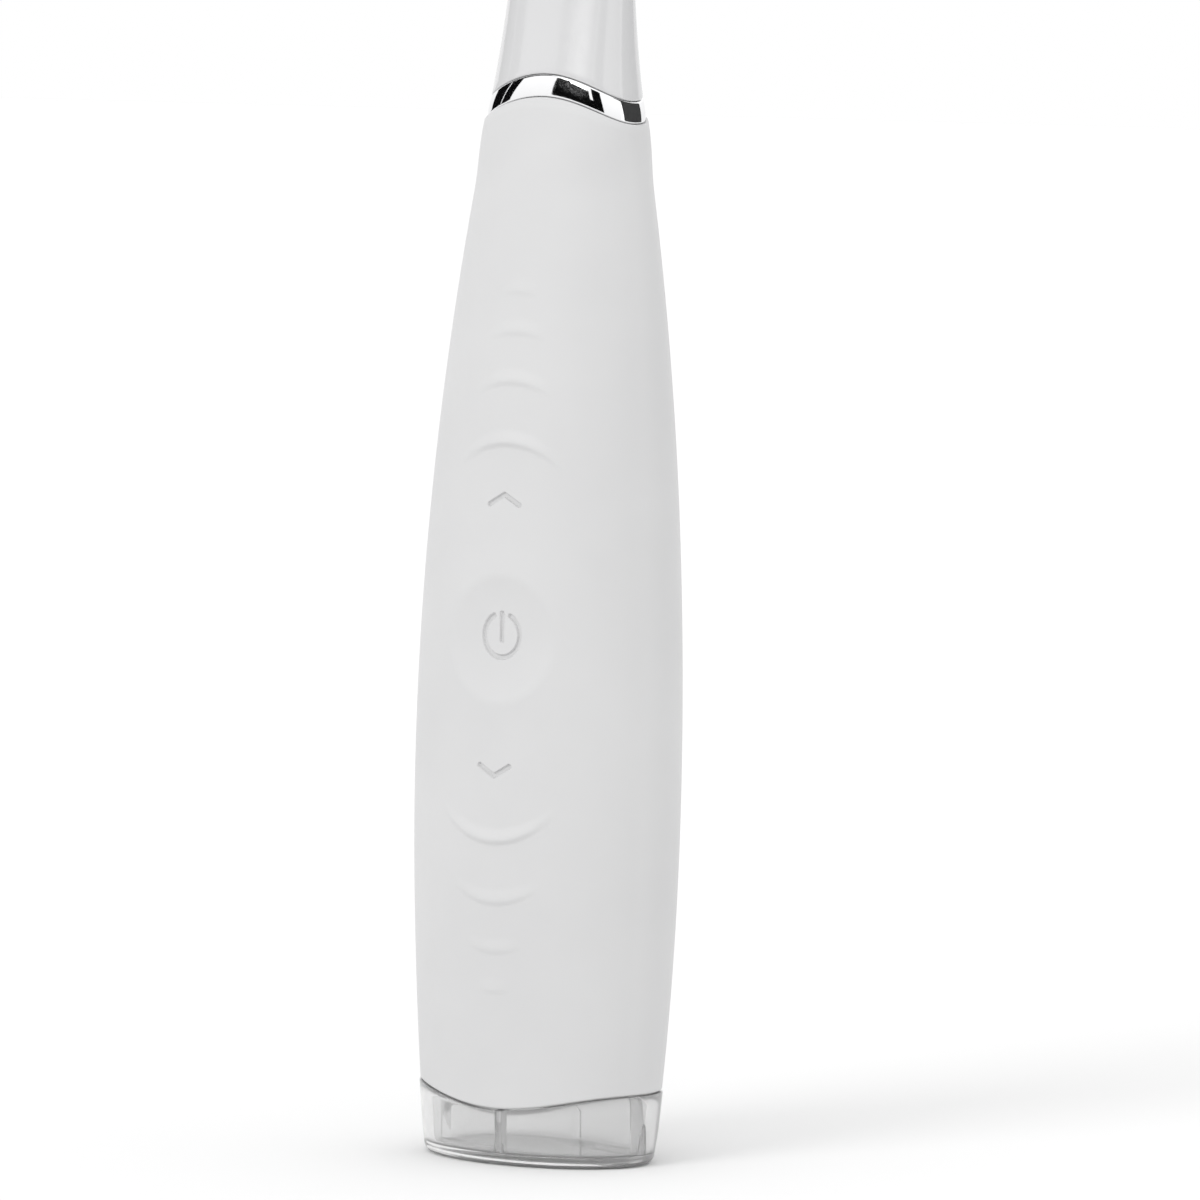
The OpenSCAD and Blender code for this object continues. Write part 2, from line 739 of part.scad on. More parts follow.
board_foot_z = tube_foot_z + 9;
board_top_z = up_z + 9;
board_half_w = min(room_x(board_foot_z, inner_wall, board_y), room_x(board_top_z, inner_wall, board_y)) - 0.9;
plate_foot_z = board_foot_z + 4;
plate_top_z = max(board_top_z + 1, shank_hole_z + 3);
battery_front = plate_back + 0.3;
battery_top_z = shank_foot_z - 9;
battery_foot_z = max(plate_foot_z + 2, battery_top_z - battery_len);
battery_back = rear_y(battery_foot_z) - inner_wall - battery_back_room;
rail_t = 1;
battery_half_w = room_x(battery_foot_z, inner_wall, battery_back) - 0.3;
rail_back = battery_front + (battery_back - battery_front) * 0.6;
screw_x = board_half_w - 1.8;

module main_board() {
    color(board_green)
        difference() {
            block([-board_half_w, board_y, board_foot_z], [board_half_w, board_back, board_top_z]);
            for (side = [-1, 1])
                for (z = [board_foot_z + 6, up_z - 5])
                    rod_y(side * screw_x, z, 1.9, board_y - 1, board_back + 1);
        }
}

// Screws that hold the board to the chassis, heads towards the front
module board_screws() {
    color(steel)
        for (side = [-1, 1])
            for (z = [board_foot_z + 6, up_z - 5])
                translate([side * screw_x, board_y, z])
                    rotate([0, 0, 180])
                        screw_y(0, 0, 1.6, board_y - plate_back, 0, 2.8, 0.7);
}

module chip(x, z, w, h, t) {
    block([x - w / 2, board_y - t, z - h / 2], [x + w / 2, board_y, z + h / 2]);
}

// Controller, driver, charger and small parts on the board's front
module board_chips() {
    color([0.1, 0.1, 0.11]) {
        chip(0, (power_z + down_z) / 2 + 0.2, 6, 4, 1);
        chip(-6.2, (power_z + down_z) / 2, 3, 4, 1.2);
        chip(0, (power_z + up_z) / 2, 5, 4, 1.1);
        chip(5.5, board_foot_z + 2.7, 4, 3, 1.1);
        chip(-5.5, board_foot_z + 2.7, 3, 3, 1.1);
        for (k = [-2:2])
            chip(k * 2.2, up_z + 6.2, 1, 1.6, 0.6);
    }
}

// Step-up transformer: two ferrite end blocks and a round winding between them
module drive_transformer() {
    z = (board_foot_z + down_z - 6) / 2 + 2;
    w = min(9, 1.2 * board_half_w);
    t = min(4.2, board_y - front_y(z) - inner_wall - 0.5);
    color([0.22, 0.2, 0.2])
        union() {
            chip(0, z - 4, w, 2, t);
            chip(0, z + 4, w, 2, t);
            chip(0, z, w * 0.35, 7, t * 0.6);
            translate([0, board_y - t / 2, z - 3.2])
                cylinder(d = t - 0.4, h = 6.4);
        }
}

// Plate with battery rails, screw posts, lead windows and two legs that stand in the tail plug
module chassis() {
    half = max(battery_half_w + 0.3 + rail_t, board_half_w - 1);
    top_half = min(half, room_x(plate_top_z, inner_wall, plate_front) - 0.8);
    window_lo = battery_top_z + 1.4;
    color(white_abs)
        difference() {
            union() {
                block([-half, plate_front, plate_foot_z], [half, plate_back, battery_top_z + 1]);
                block([-top_half, plate_front, battery_top_z], [top_half, plate_back, plate_top_z]);
                for (side = [-1, 1]) {
                    block([side * (battery_half_w + 0.3 + rail_t / 2) - rail_t / 2, plate_back - 0.2, battery_foot_z],
                        [side * (battery_half_w + 0.3 + rail_t / 2) + rail_t / 2, rail_back, battery_top_z]);
                    rod_y(side * shank_hole_x, shank_hole_z, 4.6, plate_back - 0.3, damper_front);
                    for (z = [board_foot_z + 6, up_z - 5])
                        rod_y(side * screw_x, z, 3.6, board_back, plate_back);
                    rod_z(side * leg_x, leg_y, leg_d, plug_floor_z, plate_foot_z + 3);
                }
                block([-battery_half_w, plate_back - 0.2, battery_foot_z - 1.3],
                    [battery_half_w, rail_back, battery_foot_z - 0.3]);
            }
            for (side = [-1, 1]) {
                rod_y(side * shank_hole_x, shank_hole_z, 2.04, plate_front - 1, damper_front + 1);
                for (z = [board_foot_z + 6, up_z - 5])
                    rod_y(side * screw_x, z, 1.64, board_y, plate_back + 1);
                rod_z(side * leg_x, leg_y, leg_screw_d + 0.04, plug_floor_z - 1, plug_floor_z + 8);
            }
            block([-4.5, plate_front - 1, window_lo], [4.5, plate_back + 1, window_lo + 4]);
            block([-2.6, plate_front - 1, shank_hole_z - 2.4], [2.6, plate_back + 1, plate_top_z - 1.2]);
        }
}

// Pouch cell with its folded top edge
module battery() {
    color(cell_silver)
        union() {
            block([-battery_half_w, battery_front, battery_foot_z],
                [battery_half_w, battery_back, battery_top_z - 3]);
            block([-battery_half_w + 1, battery_front + 0.8, battery_top_z - 4],
                [battery_half_w - 1, battery_front + 2.2, battery_top_z - 0.4]);
        }
}

// Adhesive foam between the cell and the chassis plate
module battery_pad() {
    color([0.25, 0.25, 0.27])
        block([-battery_half_w + 2, plate_back, battery_foot_z + 3],
            [battery_half_w - 2, battery_front, battery_top_z - 8]);
}

// Unit vectors for a lead: square to its direction, and its direction at a turn
function unit(v) = v / norm(v);
function across(d) = unit(cross(d, abs(d[0]) < 0.9 ? [1, 0, 0] : [0, 1, 0]));
function turn_dir(p, k) = unit(unit(p[k] - p[k - 1]) + unit(p[k + 1] - p[k]));

// Points of a smooth line through a lead's few route points
function smooth(p, steps) = [
    for (k = [0:len(p) - 2])
        for (s = [0:steps - 1])
            let (u = s / steps, a = p[max(0, k - 1)], b = p[k], c = p[k + 1], d = p[min(len(p) - 1, k + 2)])
            0.5 * (2 * b + (c - a) * u + (2 * a - 5 * b + 4 * c - d) * u * u + (3 * b - a - 3 * c + d) * u * u * u),
    p[len(p) - 1]
];

// A lead swept along its route, cut square to the route's first and last stretch
module lead(route, d) {
    last = len(route) - 1;
    head_dir = unit(route[1] - route[0]);
    tail_dir = unit(route[last] - route[last - 1]);
    path = smooth(route, 4);
    sides = 8;
    rings = len(path);
    points = [
        for (k = [0:rings - 1])
            let (dir = k == 0 ? head_dir : k == rings - 1 ? tail_dir : turn_dir(path, k),
                 u = across(dir), v = cross(dir, u))
            for (s = [0:sides - 1])
                path[k] + d / 2 * (u * cos(360 * s / sides) + v * sin(360 * s / sides))
    ];
    faces = concat(
        [for (k = [0:rings - 2]) for (s = [0:sides - 1])
            let (a = k * sides, b = a + sides, t = (s + 1) % sides)
            for (f = [[a + s, a + t, b + t], [a + s, b + t, b + s]]) f],
        [[for (s = [sides - 1:-1:0]) s]],
        [[for (s = [0:sides - 1]) (rings - 1) * sides + s]]
    );
    polyhedron(points = points, faces = faces, convexity = 6);
}

// From the cell's top edge, through the window, to the back of the board
module battery_leads() {
    window_z = battery_top_z + 3.4;
    color(copper_red)
        for (x = [-2.4, 2.4])
            lead([
                [x, battery_front + 1.5, battery_top_z - 0.4],
                [x, battery_front + 1.5, battery_top_z + 1.6],
                [x, plate_back + 0.4, window_z],
                [x, board_back, window_z]
            ], lead_d);
}

// From the ceramic disc's face forward to the back of the board
module piezo_leads() {
    start = [0, blade_y - blade_t / 2 - piezo_t, piezo_z - piezo_d / 2 + 2.2];
    end_z = shank_hole_z - 0.6;
    color(copper_red)
        for (x = [-1.4, 1.4])
            lead([
                start + [x, 0, 0],
                start + [x, -0.6, 0],
                start + [x, -1.5, -1],
                [x, plate_back + 1, end_z + 0.6],
                [x, board_back + 0.8, end_z],
                [x, board_back, end_z]
            ], lead_d - 0.2);
}

// ---------------------------------------------------------------- tail

plug_floor_z = base_seam_z + 6.6;
spigot_top_z = tube_foot_z + 4;
spigot_inset = inner_wall + 0.1;
plug_bore = spigot_inset + 1.6;
leg_d = 3.1;
leg_screw_d = 1.6;
leg_head_d = 3;
leg_head_h = 1;
leg_y = plate_front + leg_d / 2 + 0.1;
leg_x = room_x(plug_floor_z, plug_bore, leg_y + leg_d / 2) - leg_d / 3;
plug_gap = 0.2;
post_y_front = front_y(base_seam_z) + sleeve_wall + post_d / 2;
post_y_rear = rear_y(base_seam_z) - sleeve_wall - post_d / 2;
post_x = half_w(base_seam_z + base_seam_rise) - sleeve_wall - post_d / 2 - 0.55;
socket_y = mid_y(base_seam_z);
socket_len = 8.6;
socket_z = base_seam_z + 0.9;

// Sockets that the base cap's posts slide into
module posts(d, reach) {
    for (y = [post_y_front, post_y_rear])
        rod_z(0, y, d, cap_floor - 0.5, base_seam_z + reach);
    for (side = [-1, 1])
        rod_z(side * post_x, mid_y(base_seam_z), d, cap_floor - 0.5, base_seam_z + base_seam_rise + reach - 0.4);
}

// An upright slot with round ends, as the charging socket has
module stadium(w, d, z_a, z_b) {
    hull()
        for (side = [-1, 1])
            rod_z(side * (w - d) / 2, socket_y, d, z_a, z_b);
}

// A slot with round ends made of exact cylinders and a block
module exact_stadium(w, d, z_a, z_b) {
    for (side = [-1, 1])
        rod_z(side * (w - d) / 2, socket_y, d, z_a, z_b);
    block([-(w - d) / 2, socket_y - d / 2, z_a], [(w - d) / 2, socket_y + d / 2, z_b]);
}

module tail_plug() {
    flange = sleeve_wall + bond_gap;
    foot = base_seam_z + plug_gap;
    groove = spigot_top_z - 2.3;
    color(white_abs)
        difference() {
            union() {
                cup_loft([
                    [flange, foot, foot + base_seam_rise],
                    [flange, tube_foot_z - bond_gap, tube_foot_z - bond_gap],
                    [spigot_inset, tube_foot_z - bond_gap, tube_foot_z - bond_gap],
                    [spigot_inset, groove, groove],
                    [spigot_inset + 0.95, groove, groove],
                    [spigot_inset + 0.95, groove + 1.3, groove + 1.3],
                    [spigot_inset, groove + 1.3, groove + 1.3],
                    [spigot_inset, spigot_top_z, spigot_top_z],
                    [plug_bore, spigot_top_z, spigot_top_z],
                    [plug_bore, plug_floor_z, plug_floor_z]
                ]);
                for (side = [-1, 1])
                    rod_z(side * charge_boss_x, charge_boss_y, charge_boss_d, plug_floor_z - 0.5, charge_board_z);
            }
            posts(post_d + 2 * run_gap, post_grip + 0.4);
            exact_stadium(socket_w + 0.2, socket_d + 0.2, 0, plug_floor_z + 1);
            for (side = [-1, 1]) {
                rod_z(side * charge_boss_x, charge_boss_y, 1.24, plug_floor_z, charge_board_z + 1);
                rod_z(side * leg_x, leg_y, leg_screw_d + 0.3, 0, plug_floor_z + 1);
                rod_z(side * leg_x, leg_y, leg_head_d + 0.4, 0, tail_head_z + leg_head_h);
            }
        }
}

tail_head_z = base_seam_z + base_seam_rise + 1;

module tail_seal() {
    z = spigot_top_z - 2.3 + 0.65;
    mid = spigot_inset + 0.44;
    r = 0.5;
    color(black_rubber)
        ring_loft([for (k = [0:7]) [mid - r * cos(45 * k + 22.5), z - r * sin(45 * k + 22.5), z - r * sin(45 * k + 22.5)]]);
}

charge_board_z = socket_z + socket_len;
charge_boss_x = socket_w / 2 + 1.53;
charge_boss_y = socket_y - socket_d / 2 - 1.5;
charge_boss_d = 2.8;
charge_board_t = 1;

module charge_board() {
    half = leg_x - leg_d / 2 - 0.3;
    front = charge_boss_y - charge_boss_d / 2 + 0.1;
    back = socket_y + socket_d / 2 + 1;
    color(board_green)
        difference() {
            block([-half, front, charge_board_z], [half, back, charge_board_z + charge_board_t]);
            for (side = [-1, 1])
                rod_z(side * charge_boss_x, charge_boss_y, 1.5, charge_board_z - 1, charge_board_z + 2);
        }
}

// Metal shell with the contact tongue inside
module charge_socket() {
    wall = 0.3;
    color(chrome)
        union() {
            difference() {
                exact_stadium(socket_w, socket_d, socket_z, charge_board_z);
                exact_stadium(socket_w - 2 * wall, socket_d - 2 * wall, socket_z - 1, charge_board_z - 1.6);
            }
            block([-3.3, socket_y - 0.35, socket_z + 0.8], [3.3, socket_y + 0.35, charge_board_z - 1.5]);
        }
}

module charge_board_screws() {
    top = charge_board_z + charge_board_t;
    color(steel)
        for (side = [-1, 1])
            difference() {
                union() {
                    rod_z(side * charge_boss_x, charge_boss_y, 1.2, plug_floor_z + 0.2, top);
                    rod_z(side * charge_boss_x, charge_boss_y, 2.4, top, top + 0.7);
                }
                for (turn = [0, 90])
                    translate([side * charge_boss_x, charge_boss_y, top + 0.7])
                        rotate([0, 0, turn])
                            cube([1.5, 0.35, 0.6], center = true);
            }
}

// From the charging board up to the back of the main board
module charge_leads() {
    top = charge_board_z + charge_board_t;
    color(copper_red)
        for (x = [-3, -1, 1, 3])
            lead([
                [x, board_back + 1.6, top],
                [x, board_back + 1.6, top + 2.4],
                [x, board_back + 1.6, board_foot_z + 1],
                [x, board_back + 1.1, board_foot_z + 2.2],
                [x, board_back, board_foot_z + 2.2]
            ], lead_d - 0.2);
}

// Screws from under the plug up into the chassis legs
module tail_screws() {
    color(steel)
        for (side = [-1, 1])
            difference() {
                union() {
                    rod_z(side * leg_x, leg_y, leg_screw_d, tail_head_z + leg_head_h, plug_floor_z + 7);
                    rod_z(side * leg_x, leg_y, leg_head_d, tail_head_z, tail_head_z + leg_head_h);
                }
                for (turn = [0, 90])
                    translate([side * leg_x, leg_y, tail_head_z])
                        rotate([0, 0, turn])
                            cube([1.8, 0.4, 0.9], center = true);
            }
}

// Clear cup with a rounded foot and four locating posts
module base_cap() {
    rim_mid = base_seam_z - move_gap / 2;
    rim_side = rim_mid + base_seam_rise;
    inner = cap_wall - cap_proud;
    color(clear)
        union() {
            cup_loft([
                [0.95, 0, 0], [0.35, 0.4, 0.4], [0, 1.3, 1.3], [-cap_proud, 2.4, 2.4],
                [-cap_proud, rim_mid - 0.3, rim_side - 0.3], [0.1, rim_mid, rim_side],
                [inner, rim_mid, rim_side], [inner, cap_floor + 0.8, cap_floor + 0.8],
                [inner + 0.8, cap_floor, cap_floor]
            ]);
            posts(post_d, post_grip);
        }
}

grip_sleeve();
body_tube();
trim_ring();
neck_shell();
neck_seal();
scrubber_blade();
blade_seal();
piezo_disc();
shank_dampers();
shank_screws();
piezo_leads();
power_button();
power_plunger();
power_switch_stem();
up_button();
up_plunger();
up_switch_stem();
down_button();
down_plunger();
down_switch_stem();
key_frame();
switch_bodies();
main_board();
board_chips();
drive_transformer();
board_screws();
chassis();
battery();
battery_pad();
battery_leads();
tail_plug();
tail_seal();
charge_board();
charge_socket();
charge_board_screws();
charge_leads();
tail_screws();
base_cap();
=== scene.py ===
"""Looks of a cordless skin scrubber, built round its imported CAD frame.

Shapes are worked out in millimetres, as the part's source holds them, and go to Blender in metres.
"""
import json
import math

import bpy
import numpy as np
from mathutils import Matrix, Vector


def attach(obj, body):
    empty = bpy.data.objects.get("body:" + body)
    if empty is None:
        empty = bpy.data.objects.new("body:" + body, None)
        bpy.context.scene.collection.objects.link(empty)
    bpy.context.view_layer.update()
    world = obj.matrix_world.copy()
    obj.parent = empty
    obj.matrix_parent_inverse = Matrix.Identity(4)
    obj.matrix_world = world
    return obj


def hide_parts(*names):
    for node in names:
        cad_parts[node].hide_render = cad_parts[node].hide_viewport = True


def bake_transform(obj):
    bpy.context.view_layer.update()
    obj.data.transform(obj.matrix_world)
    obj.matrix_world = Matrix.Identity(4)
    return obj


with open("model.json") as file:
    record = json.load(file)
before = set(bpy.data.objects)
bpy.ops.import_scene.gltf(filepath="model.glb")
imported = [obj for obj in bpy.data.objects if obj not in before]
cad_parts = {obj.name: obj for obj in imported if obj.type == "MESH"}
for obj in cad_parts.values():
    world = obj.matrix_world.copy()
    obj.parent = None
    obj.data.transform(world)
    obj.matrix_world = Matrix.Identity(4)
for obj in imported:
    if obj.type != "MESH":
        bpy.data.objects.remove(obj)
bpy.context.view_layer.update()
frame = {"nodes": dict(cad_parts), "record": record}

MM = 0.001

# ------------------------------------------------------------------ sizes

# These are the part's own sizes, except the lower seam's rise and the cap's floor, which follow the look.

SHOULDER_Z, BELLY_Z, NECK_LEN = 135.0, 48.0, 33.0
BASE_W, BELLY_W, SHOULDER_W, TIP_W = 33.6, 38.8, 23.2, 17.6
BASE_FRONT, FRONT_BULGE, FRONT_BULGE_Z, SHOULDER_FRONT, TIP_FRONT = 10.1, 10.3, 36.0, 0.1, 5.8
BASE_REAR, REAR_BULGE, REAR_BULGE_Z, SHOULDER_REAR, TIP_REAR = 10.1, 15.3, 86.0, 13.0, 11.6
NECK_SQUARENESS, ELLIPSE_TOP_Z = 2.5, 126.0
NECK_WALL, NECK_TIP_WALL = 1.8, 1.2
BASE_SEAM_Z, BASE_SEAM_RISE = 7.4, 2.2
RING_LIFT, RING_FALL, RING_H, RING_INSET = 3.2, 3.5, 2.9, 0.3
SLEEVE_WALL, BOND_GAP, MOVE_GAP = 1.5, 0.05, 0.3
CAP_WALL, CAP_PROUD, CAP_FLOOR = 1.8, 0.15, 1.45
POST_D, POST_GRIP = 1.5, 3.0
BLADE_T, BLADE_Y, BLADE_NECK_W, BLADE_TIP_W = 0.8, 8.2, 10.6, 14.2
BLADE_RISE, BLADE_BEND, BLADE_BEND_R, BLADE_REACH = 4.5, 32.0, 8.0, 13.0
SHANK_W, SHANK_H = 17.2, 30.0

POWER_Z = SHOULDER_Z / 2 + 1
UP_Z = POWER_Z + 18.5
DOWN_Z = POWER_Z - 17
RING_Z = SHOULDER_Z + RING_LIFT
TIP_Z = SHOULDER_Z + NECK_LEN
TUBE_TOP_Z = RING_Z + RING_H + 1.9

# The finger dish, whose edge is rounded over DISH_RIM of its depth, the signs and the ribs
DISH_DEPTH, DISH_R, DISH_RIM = 1.0, 8.2, 0.14
SIGN_DEPTH, SIGN_LINE, SIGN_EDGE = 0.36, 0.6, 0.08
POWER_SIGN_R, POWER_GAP_HALF, POWER_BAR_LOW = 2.84, 1.3, -0.6
ARROW_HALF_W, ARROW_RISE = 2.3, 1.3
POWER_SIGN_RISE, UP_SIGN_DROP = 0.5, 0.5
UPPER_RIB_W, UPPER_RIB_START = (16.6, 12.0, 9.0, 6.0), 6.9
LOWER_RIB_W, LOWER_RIB_START = (18.0, 13.4, 8.6, 5.2), 9.0
RIB_PITCH, RIB_SHRINK = 7.9, 0.81
RIB_BOW_R, RIB_H, RIB_FADE = 11.5, 0.36, 0.66
RIB_TOP_SIDE, RIB_FOOT_SIDE = 1.75, 0.8

# Each key: its centre height, the radius that moves whole, and the radius where the skin stays still
KEYS = {
    "power": (POWER_Z, 4.4, 6.3),
    "up": (UP_Z, 3.5, 4.8),
    "down": (DOWN_Z, 3.5, 4.8),
}


# ------------------------------------------------------------------ the outline

def bow(z, z_lo, v_lo, z_pk, v_pk, z_hi, v_hi):
    """A curve that peaks at z_pk and passes through both ends."""
    low = v_pk + (v_lo - v_pk) * ((z_pk - z) / (z_pk - z_lo)) ** 2
    high = v_pk + (v_hi - v_pk) * ((z - z_pk) / (z_hi - z_pk)) ** 2
    return np.where(z < z_pk, low, high)


def ease(u, length, v0, s0, v1, s1):
    """A curve from v0 to v1 over a length, that starts at slope s0 and ends at slope s1."""
    return ((2 * u**3 - 3 * u**2 + 1) * v0 + (u**3 - 2 * u**2 + u) * length * s0
            + (3 * u**2 - 2 * u**3) * v1 + (u**3 - u**2) * length * s1)


def outline(z, lo, pk_z, pk, hi, tip, tip_slope):
    """One side of the outline: a bow up to the shoulder, then an easy curve to the neck's tip."""
    shoulder_slope = 2 * (hi - pk) / (SHOULDER_Z - pk_z)
    u = np.clip((z - SHOULDER_Z) / NECK_LEN, 0, 1)
    return np.where(z <= SHOULDER_Z, bow(z, 0, lo, pk_z, pk, SHOULDER_Z, hi),
                    ease(u, NECK_LEN, hi, shoulder_slope, tip, tip_slope))


def half_w(z):
    return outline(z, BASE_W / 2, BELLY_Z, BELLY_W / 2, SHOULDER_W / 2, TIP_W / 2, -0.03)


def front_y(z):
    return -outline(z, BASE_FRONT, FRONT_BULGE_Z, FRONT_BULGE, SHOULDER_FRONT, -TIP_FRONT, -0.08)


def rear_y(z):
    return outline(z, BASE_REAR, REAR_BULGE_Z, REAR_BULGE, SHOULDER_REAR, TIP_REAR, -0.02)


def mid_y(z):
    return (front_y(z) + rear_y(z)) / 2


def half_d(z):
    return (rear_y(z) - front_y(z)) / 2


def squareness(z):
    """The section's power: 2 is an ellipse, and more is squarer."""
    u = np.clip((z - ELLIPSE_TOP_Z) / (SHOULDER_Z - ELLIPSE_TOP_Z), 0, 1)
    return 2 + (NECK_SQUARENESS - 2) * u * u * (3 - 2 * u)


def skin(z, inset, t):
    """Points of the outline, moved in by inset, at angle t round the section."""
    p = 2 / squareness(z)
    c, s = np.cos(t), np.sin(t)
    x = (half_w(z) - inset) * np.sign(c) * np.abs(c) ** p
    y = mid_y(z) + (half_d(z) - inset) * np.sign(s) * np.abs(s) ** p
    return np.stack([x, y, z + 0 * t], -1)


def skin_normal(points, inset=0.0):
    """Outward normals of the outline at points that lie on it."""
    def level(p, z):
        n = squareness(z)
        return (np.abs(p[..., 0] / (half_w(z) - inset)) ** n
                + np.abs((p[..., 1] - mid_y(z)) / (half_d(z) - inset)) ** n)
    step = 0.01
    grad = []
    for axis in range(3):
        shift = np.zeros(3)
        shift[axis] = step
        up, down = points + shift, points - shift
        grad.append(level(up, up[..., 2]) - level(down, down[..., 2]))
    return unit(np.stack(grad, -1))


def unit(v):
    return v / np.maximum(np.linalg.norm(v, axis=-1, keepdims=True), 1e-12)


def smooth(u):
    """Runs from 0 to 1 with no slope at either end."""
    u = np.clip(u, 0, 1)
    return u * u * (3 - 2 * u)


def neck_bore(z):
    """Inset of the neck's inner wall, which thins towards its tip."""
    return RING_INSET + NECK_WALL + (NECK_TIP_WALL - NECK_WALL) * (z - SHOULDER_Z) / NECK_LEN


# ------------------------------------------------------------------ relief on the front

def line_distance(x, z, ax, az, bx, bz):
    """Distance from (x, z) to the straight stroke from a to b."""
    dx, dz = bx - ax, bz - az
    u = np.clip(((x - ax) * dx + (z - az) * dz) / (dx * dx + dz * dz), 0, 1)
    return np.hypot(x - ax - u * dx, z - az - u * dz)


def sign_distance(x, z):
    """Distance to the nearest stroke of the three signs."""
    zp = z - POWER_Z - POWER_SIGN_RISE
    r = np.hypot(x, zp)
    in_gap = (np.abs(x) < POWER_GAP_HALF) & (zp > 0)
    end_z = math.sqrt(POWER_SIGN_R**2 - POWER_GAP_HALF**2)
    to_end = np.hypot(np.abs(x) - POWER_GAP_HALF, zp - end_z)
    ring = np.where(in_gap, to_end, np.abs(r - POWER_SIGN_R))
    bar = line_distance(x, zp, 0, POWER_BAR_LOW, 0, POWER_SIGN_R)
    best = np.minimum(ring, bar)
    for centre, up in ((UP_Z - UP_SIGN_DROP, 1), (DOWN_Z, -1)):
        foot, apex = centre - up * ARROW_RISE / 2, centre + up * ARROW_RISE / 2
        best = np.minimum(best, line_distance(np.abs(x), z, ARROW_HALF_W, foot, 0, apex))
    return best


def rib_places():
    """Each rib: its crown's height, its width, which way it bows, and how strong it is."""
    for start, widths, up in ((UP_Z + UPPER_RIB_START, UPPER_RIB_W, 1),
                              (DOWN_Z - LOWER_RIB_START, LOWER_RIB_W, -1)):
        z, pitch = start, RIB_PITCH
        for k, width in enumerate(widths):
            yield z, width, up, RIB_FADE**k
            z += up * pitch
            pitch *= RIB_SHRINK


def relief(x, z):
    """How far the front surface stands out from the plain outline."""
    bowl = 1 - (x * x + (z - POWER_Z) ** 2) / DISH_R**2
    out = -DISH_DEPTH * np.where(bowl > DISH_RIM, bowl, np.maximum(bowl + DISH_RIM, 0) ** 2 / (4 * DISH_RIM))
    for crown, width, up, strength in rib_places():
        taper = np.clip(1 - (2 * x / width) ** 2, 0, 1)
        centre = crown - up * (RIB_BOW_R - np.sqrt(np.maximum(RIB_BOW_R**2 - x * x, 1)))
        side = np.where(z > centre, RIB_TOP_SIDE * (0.5 + 0.5 * np.sqrt(taper)), RIB_FOOT_SIDE)
        bump = 0.5 * (1 + np.cos(np.pi * np.clip((z - centre) / side, -1, 1)))
        out = out + RIB_H * strength * taper**1.2 * bump
    cut = smooth((SIGN_LINE / 2 + SIGN_EDGE - sign_distance(x, z)) / (2 * SIGN_EDGE))
    return out - SIGN_DEPTH * cut


def with_relief(points, normals, front):
    """Points and normals once the front's relief is added."""
    x, z = points[..., 0], points[..., 2]
    amount = np.where(front, relief(x, z), 0)
    step = 0.02
    gx = np.where(front, (relief(x + step, z) - relief(x - step, z)) / (2 * step), 0)
    gz = np.where(front, (relief(x, z + step) - relief(x, z - step)) / (2 * step), 0)
    slope = np.stack([gx, 0 * gx, gz], -1)
    slope = slope - (slope * normals).sum(-1, keepdims=True) * normals
    return points + normals * amount[..., None], unit(normals - slope)


def front_points(x, z):
    """Points and normals of the finished front surface at places x, z."""
    c = np.sign(x) * (np.abs(x) / half_w(z)) ** (squareness(z) / 2)
    plain = skin(z, 0.0, -np.arccos(np.clip(c, -1, 1)))
    return with_relief(plain, skin_normal(plain), np.ones_like(x, bool))


def front_inner(x, z, depth):
    """Points under the front surface, at a depth below the plain outline."""
    c = np.sign(x) * (np.abs(x) / (half_w(z) - depth)) ** (squareness(z) / 2)
    return skin(z, depth, -np.arccos(np.clip(c, -1, 1)))


# ------------------------------------------------------------------ meshes

def object_from(name, mesh):
    obj = bpy.data.objects.new(name, mesh)
    bpy.context.scene.collection.objects.link(obj)
    return obj


def make_mesh(name, points, faces):
    mesh = bpy.data.meshes.new(name)
    mesh.from_pydata((np.asarray(points) * MM).tolist(), [], faces)
    mesh.validate()
    mesh.update()
    for poly in mesh.polygons:
        poly.use_smooth = True
    return mesh


def slab(name, outer, inner, normals, faces):
    """A closed sheet: an outer face set, the same set inside, and a rim along every open edge."""
    n = len(outer)
    seen = {}
    for f in faces:
        for k in range(len(f)):
            seen[(f[k], f[(k + 1) % len(f)])] = True
    rims = [(b, a, a + n, b + n) for a, b in seen if (b, a) not in seen]
    back = [tuple(i + n for i in reversed(f)) for f in faces]
    points = np.concatenate([outer, inner])
    mesh = make_mesh(name, points, list(faces) + back + rims)
    loop_normals = []
    flat = [tuple(p.normal) for p in mesh.polygons]
    both = np.concatenate([normals, -normals]).tolist()
    for k, poly in enumerate(mesh.polygons):
        if k < 2 * len(faces):
            loop_normals.extend(both[v] for v in poly.vertices)
        else:
            loop_normals.extend([flat[k]] * len(poly.vertices))
    mesh.normals_split_custom_set(loop_normals)
    return object_from(name, mesh)


def loft(name, rings, closed, cap_ends=False, sharp_angle=40):
    """A surface through rings of points, each given as an array of the same length."""
    count, around = len(rings), len(rings[0])
    points = np.concatenate(rings)
    faces = []
    for r in range(count if closed else count - 1):
        a, b = r * around, ((r + 1) % count) * around
        for i in range(around):
            j = (i + 1) % around
            faces.append((a + i, a + j, b + j, b + i))
    if cap_ends:
        faces.append(tuple(range(around - 1, -1, -1)))
        faces.append(tuple((count - 1) * around + i for i in range(around)))
    mesh = make_mesh(name, points, faces)
    mesh.set_sharp_from_angle(angle=math.radians(sharp_angle))
    return object_from(name, mesh)


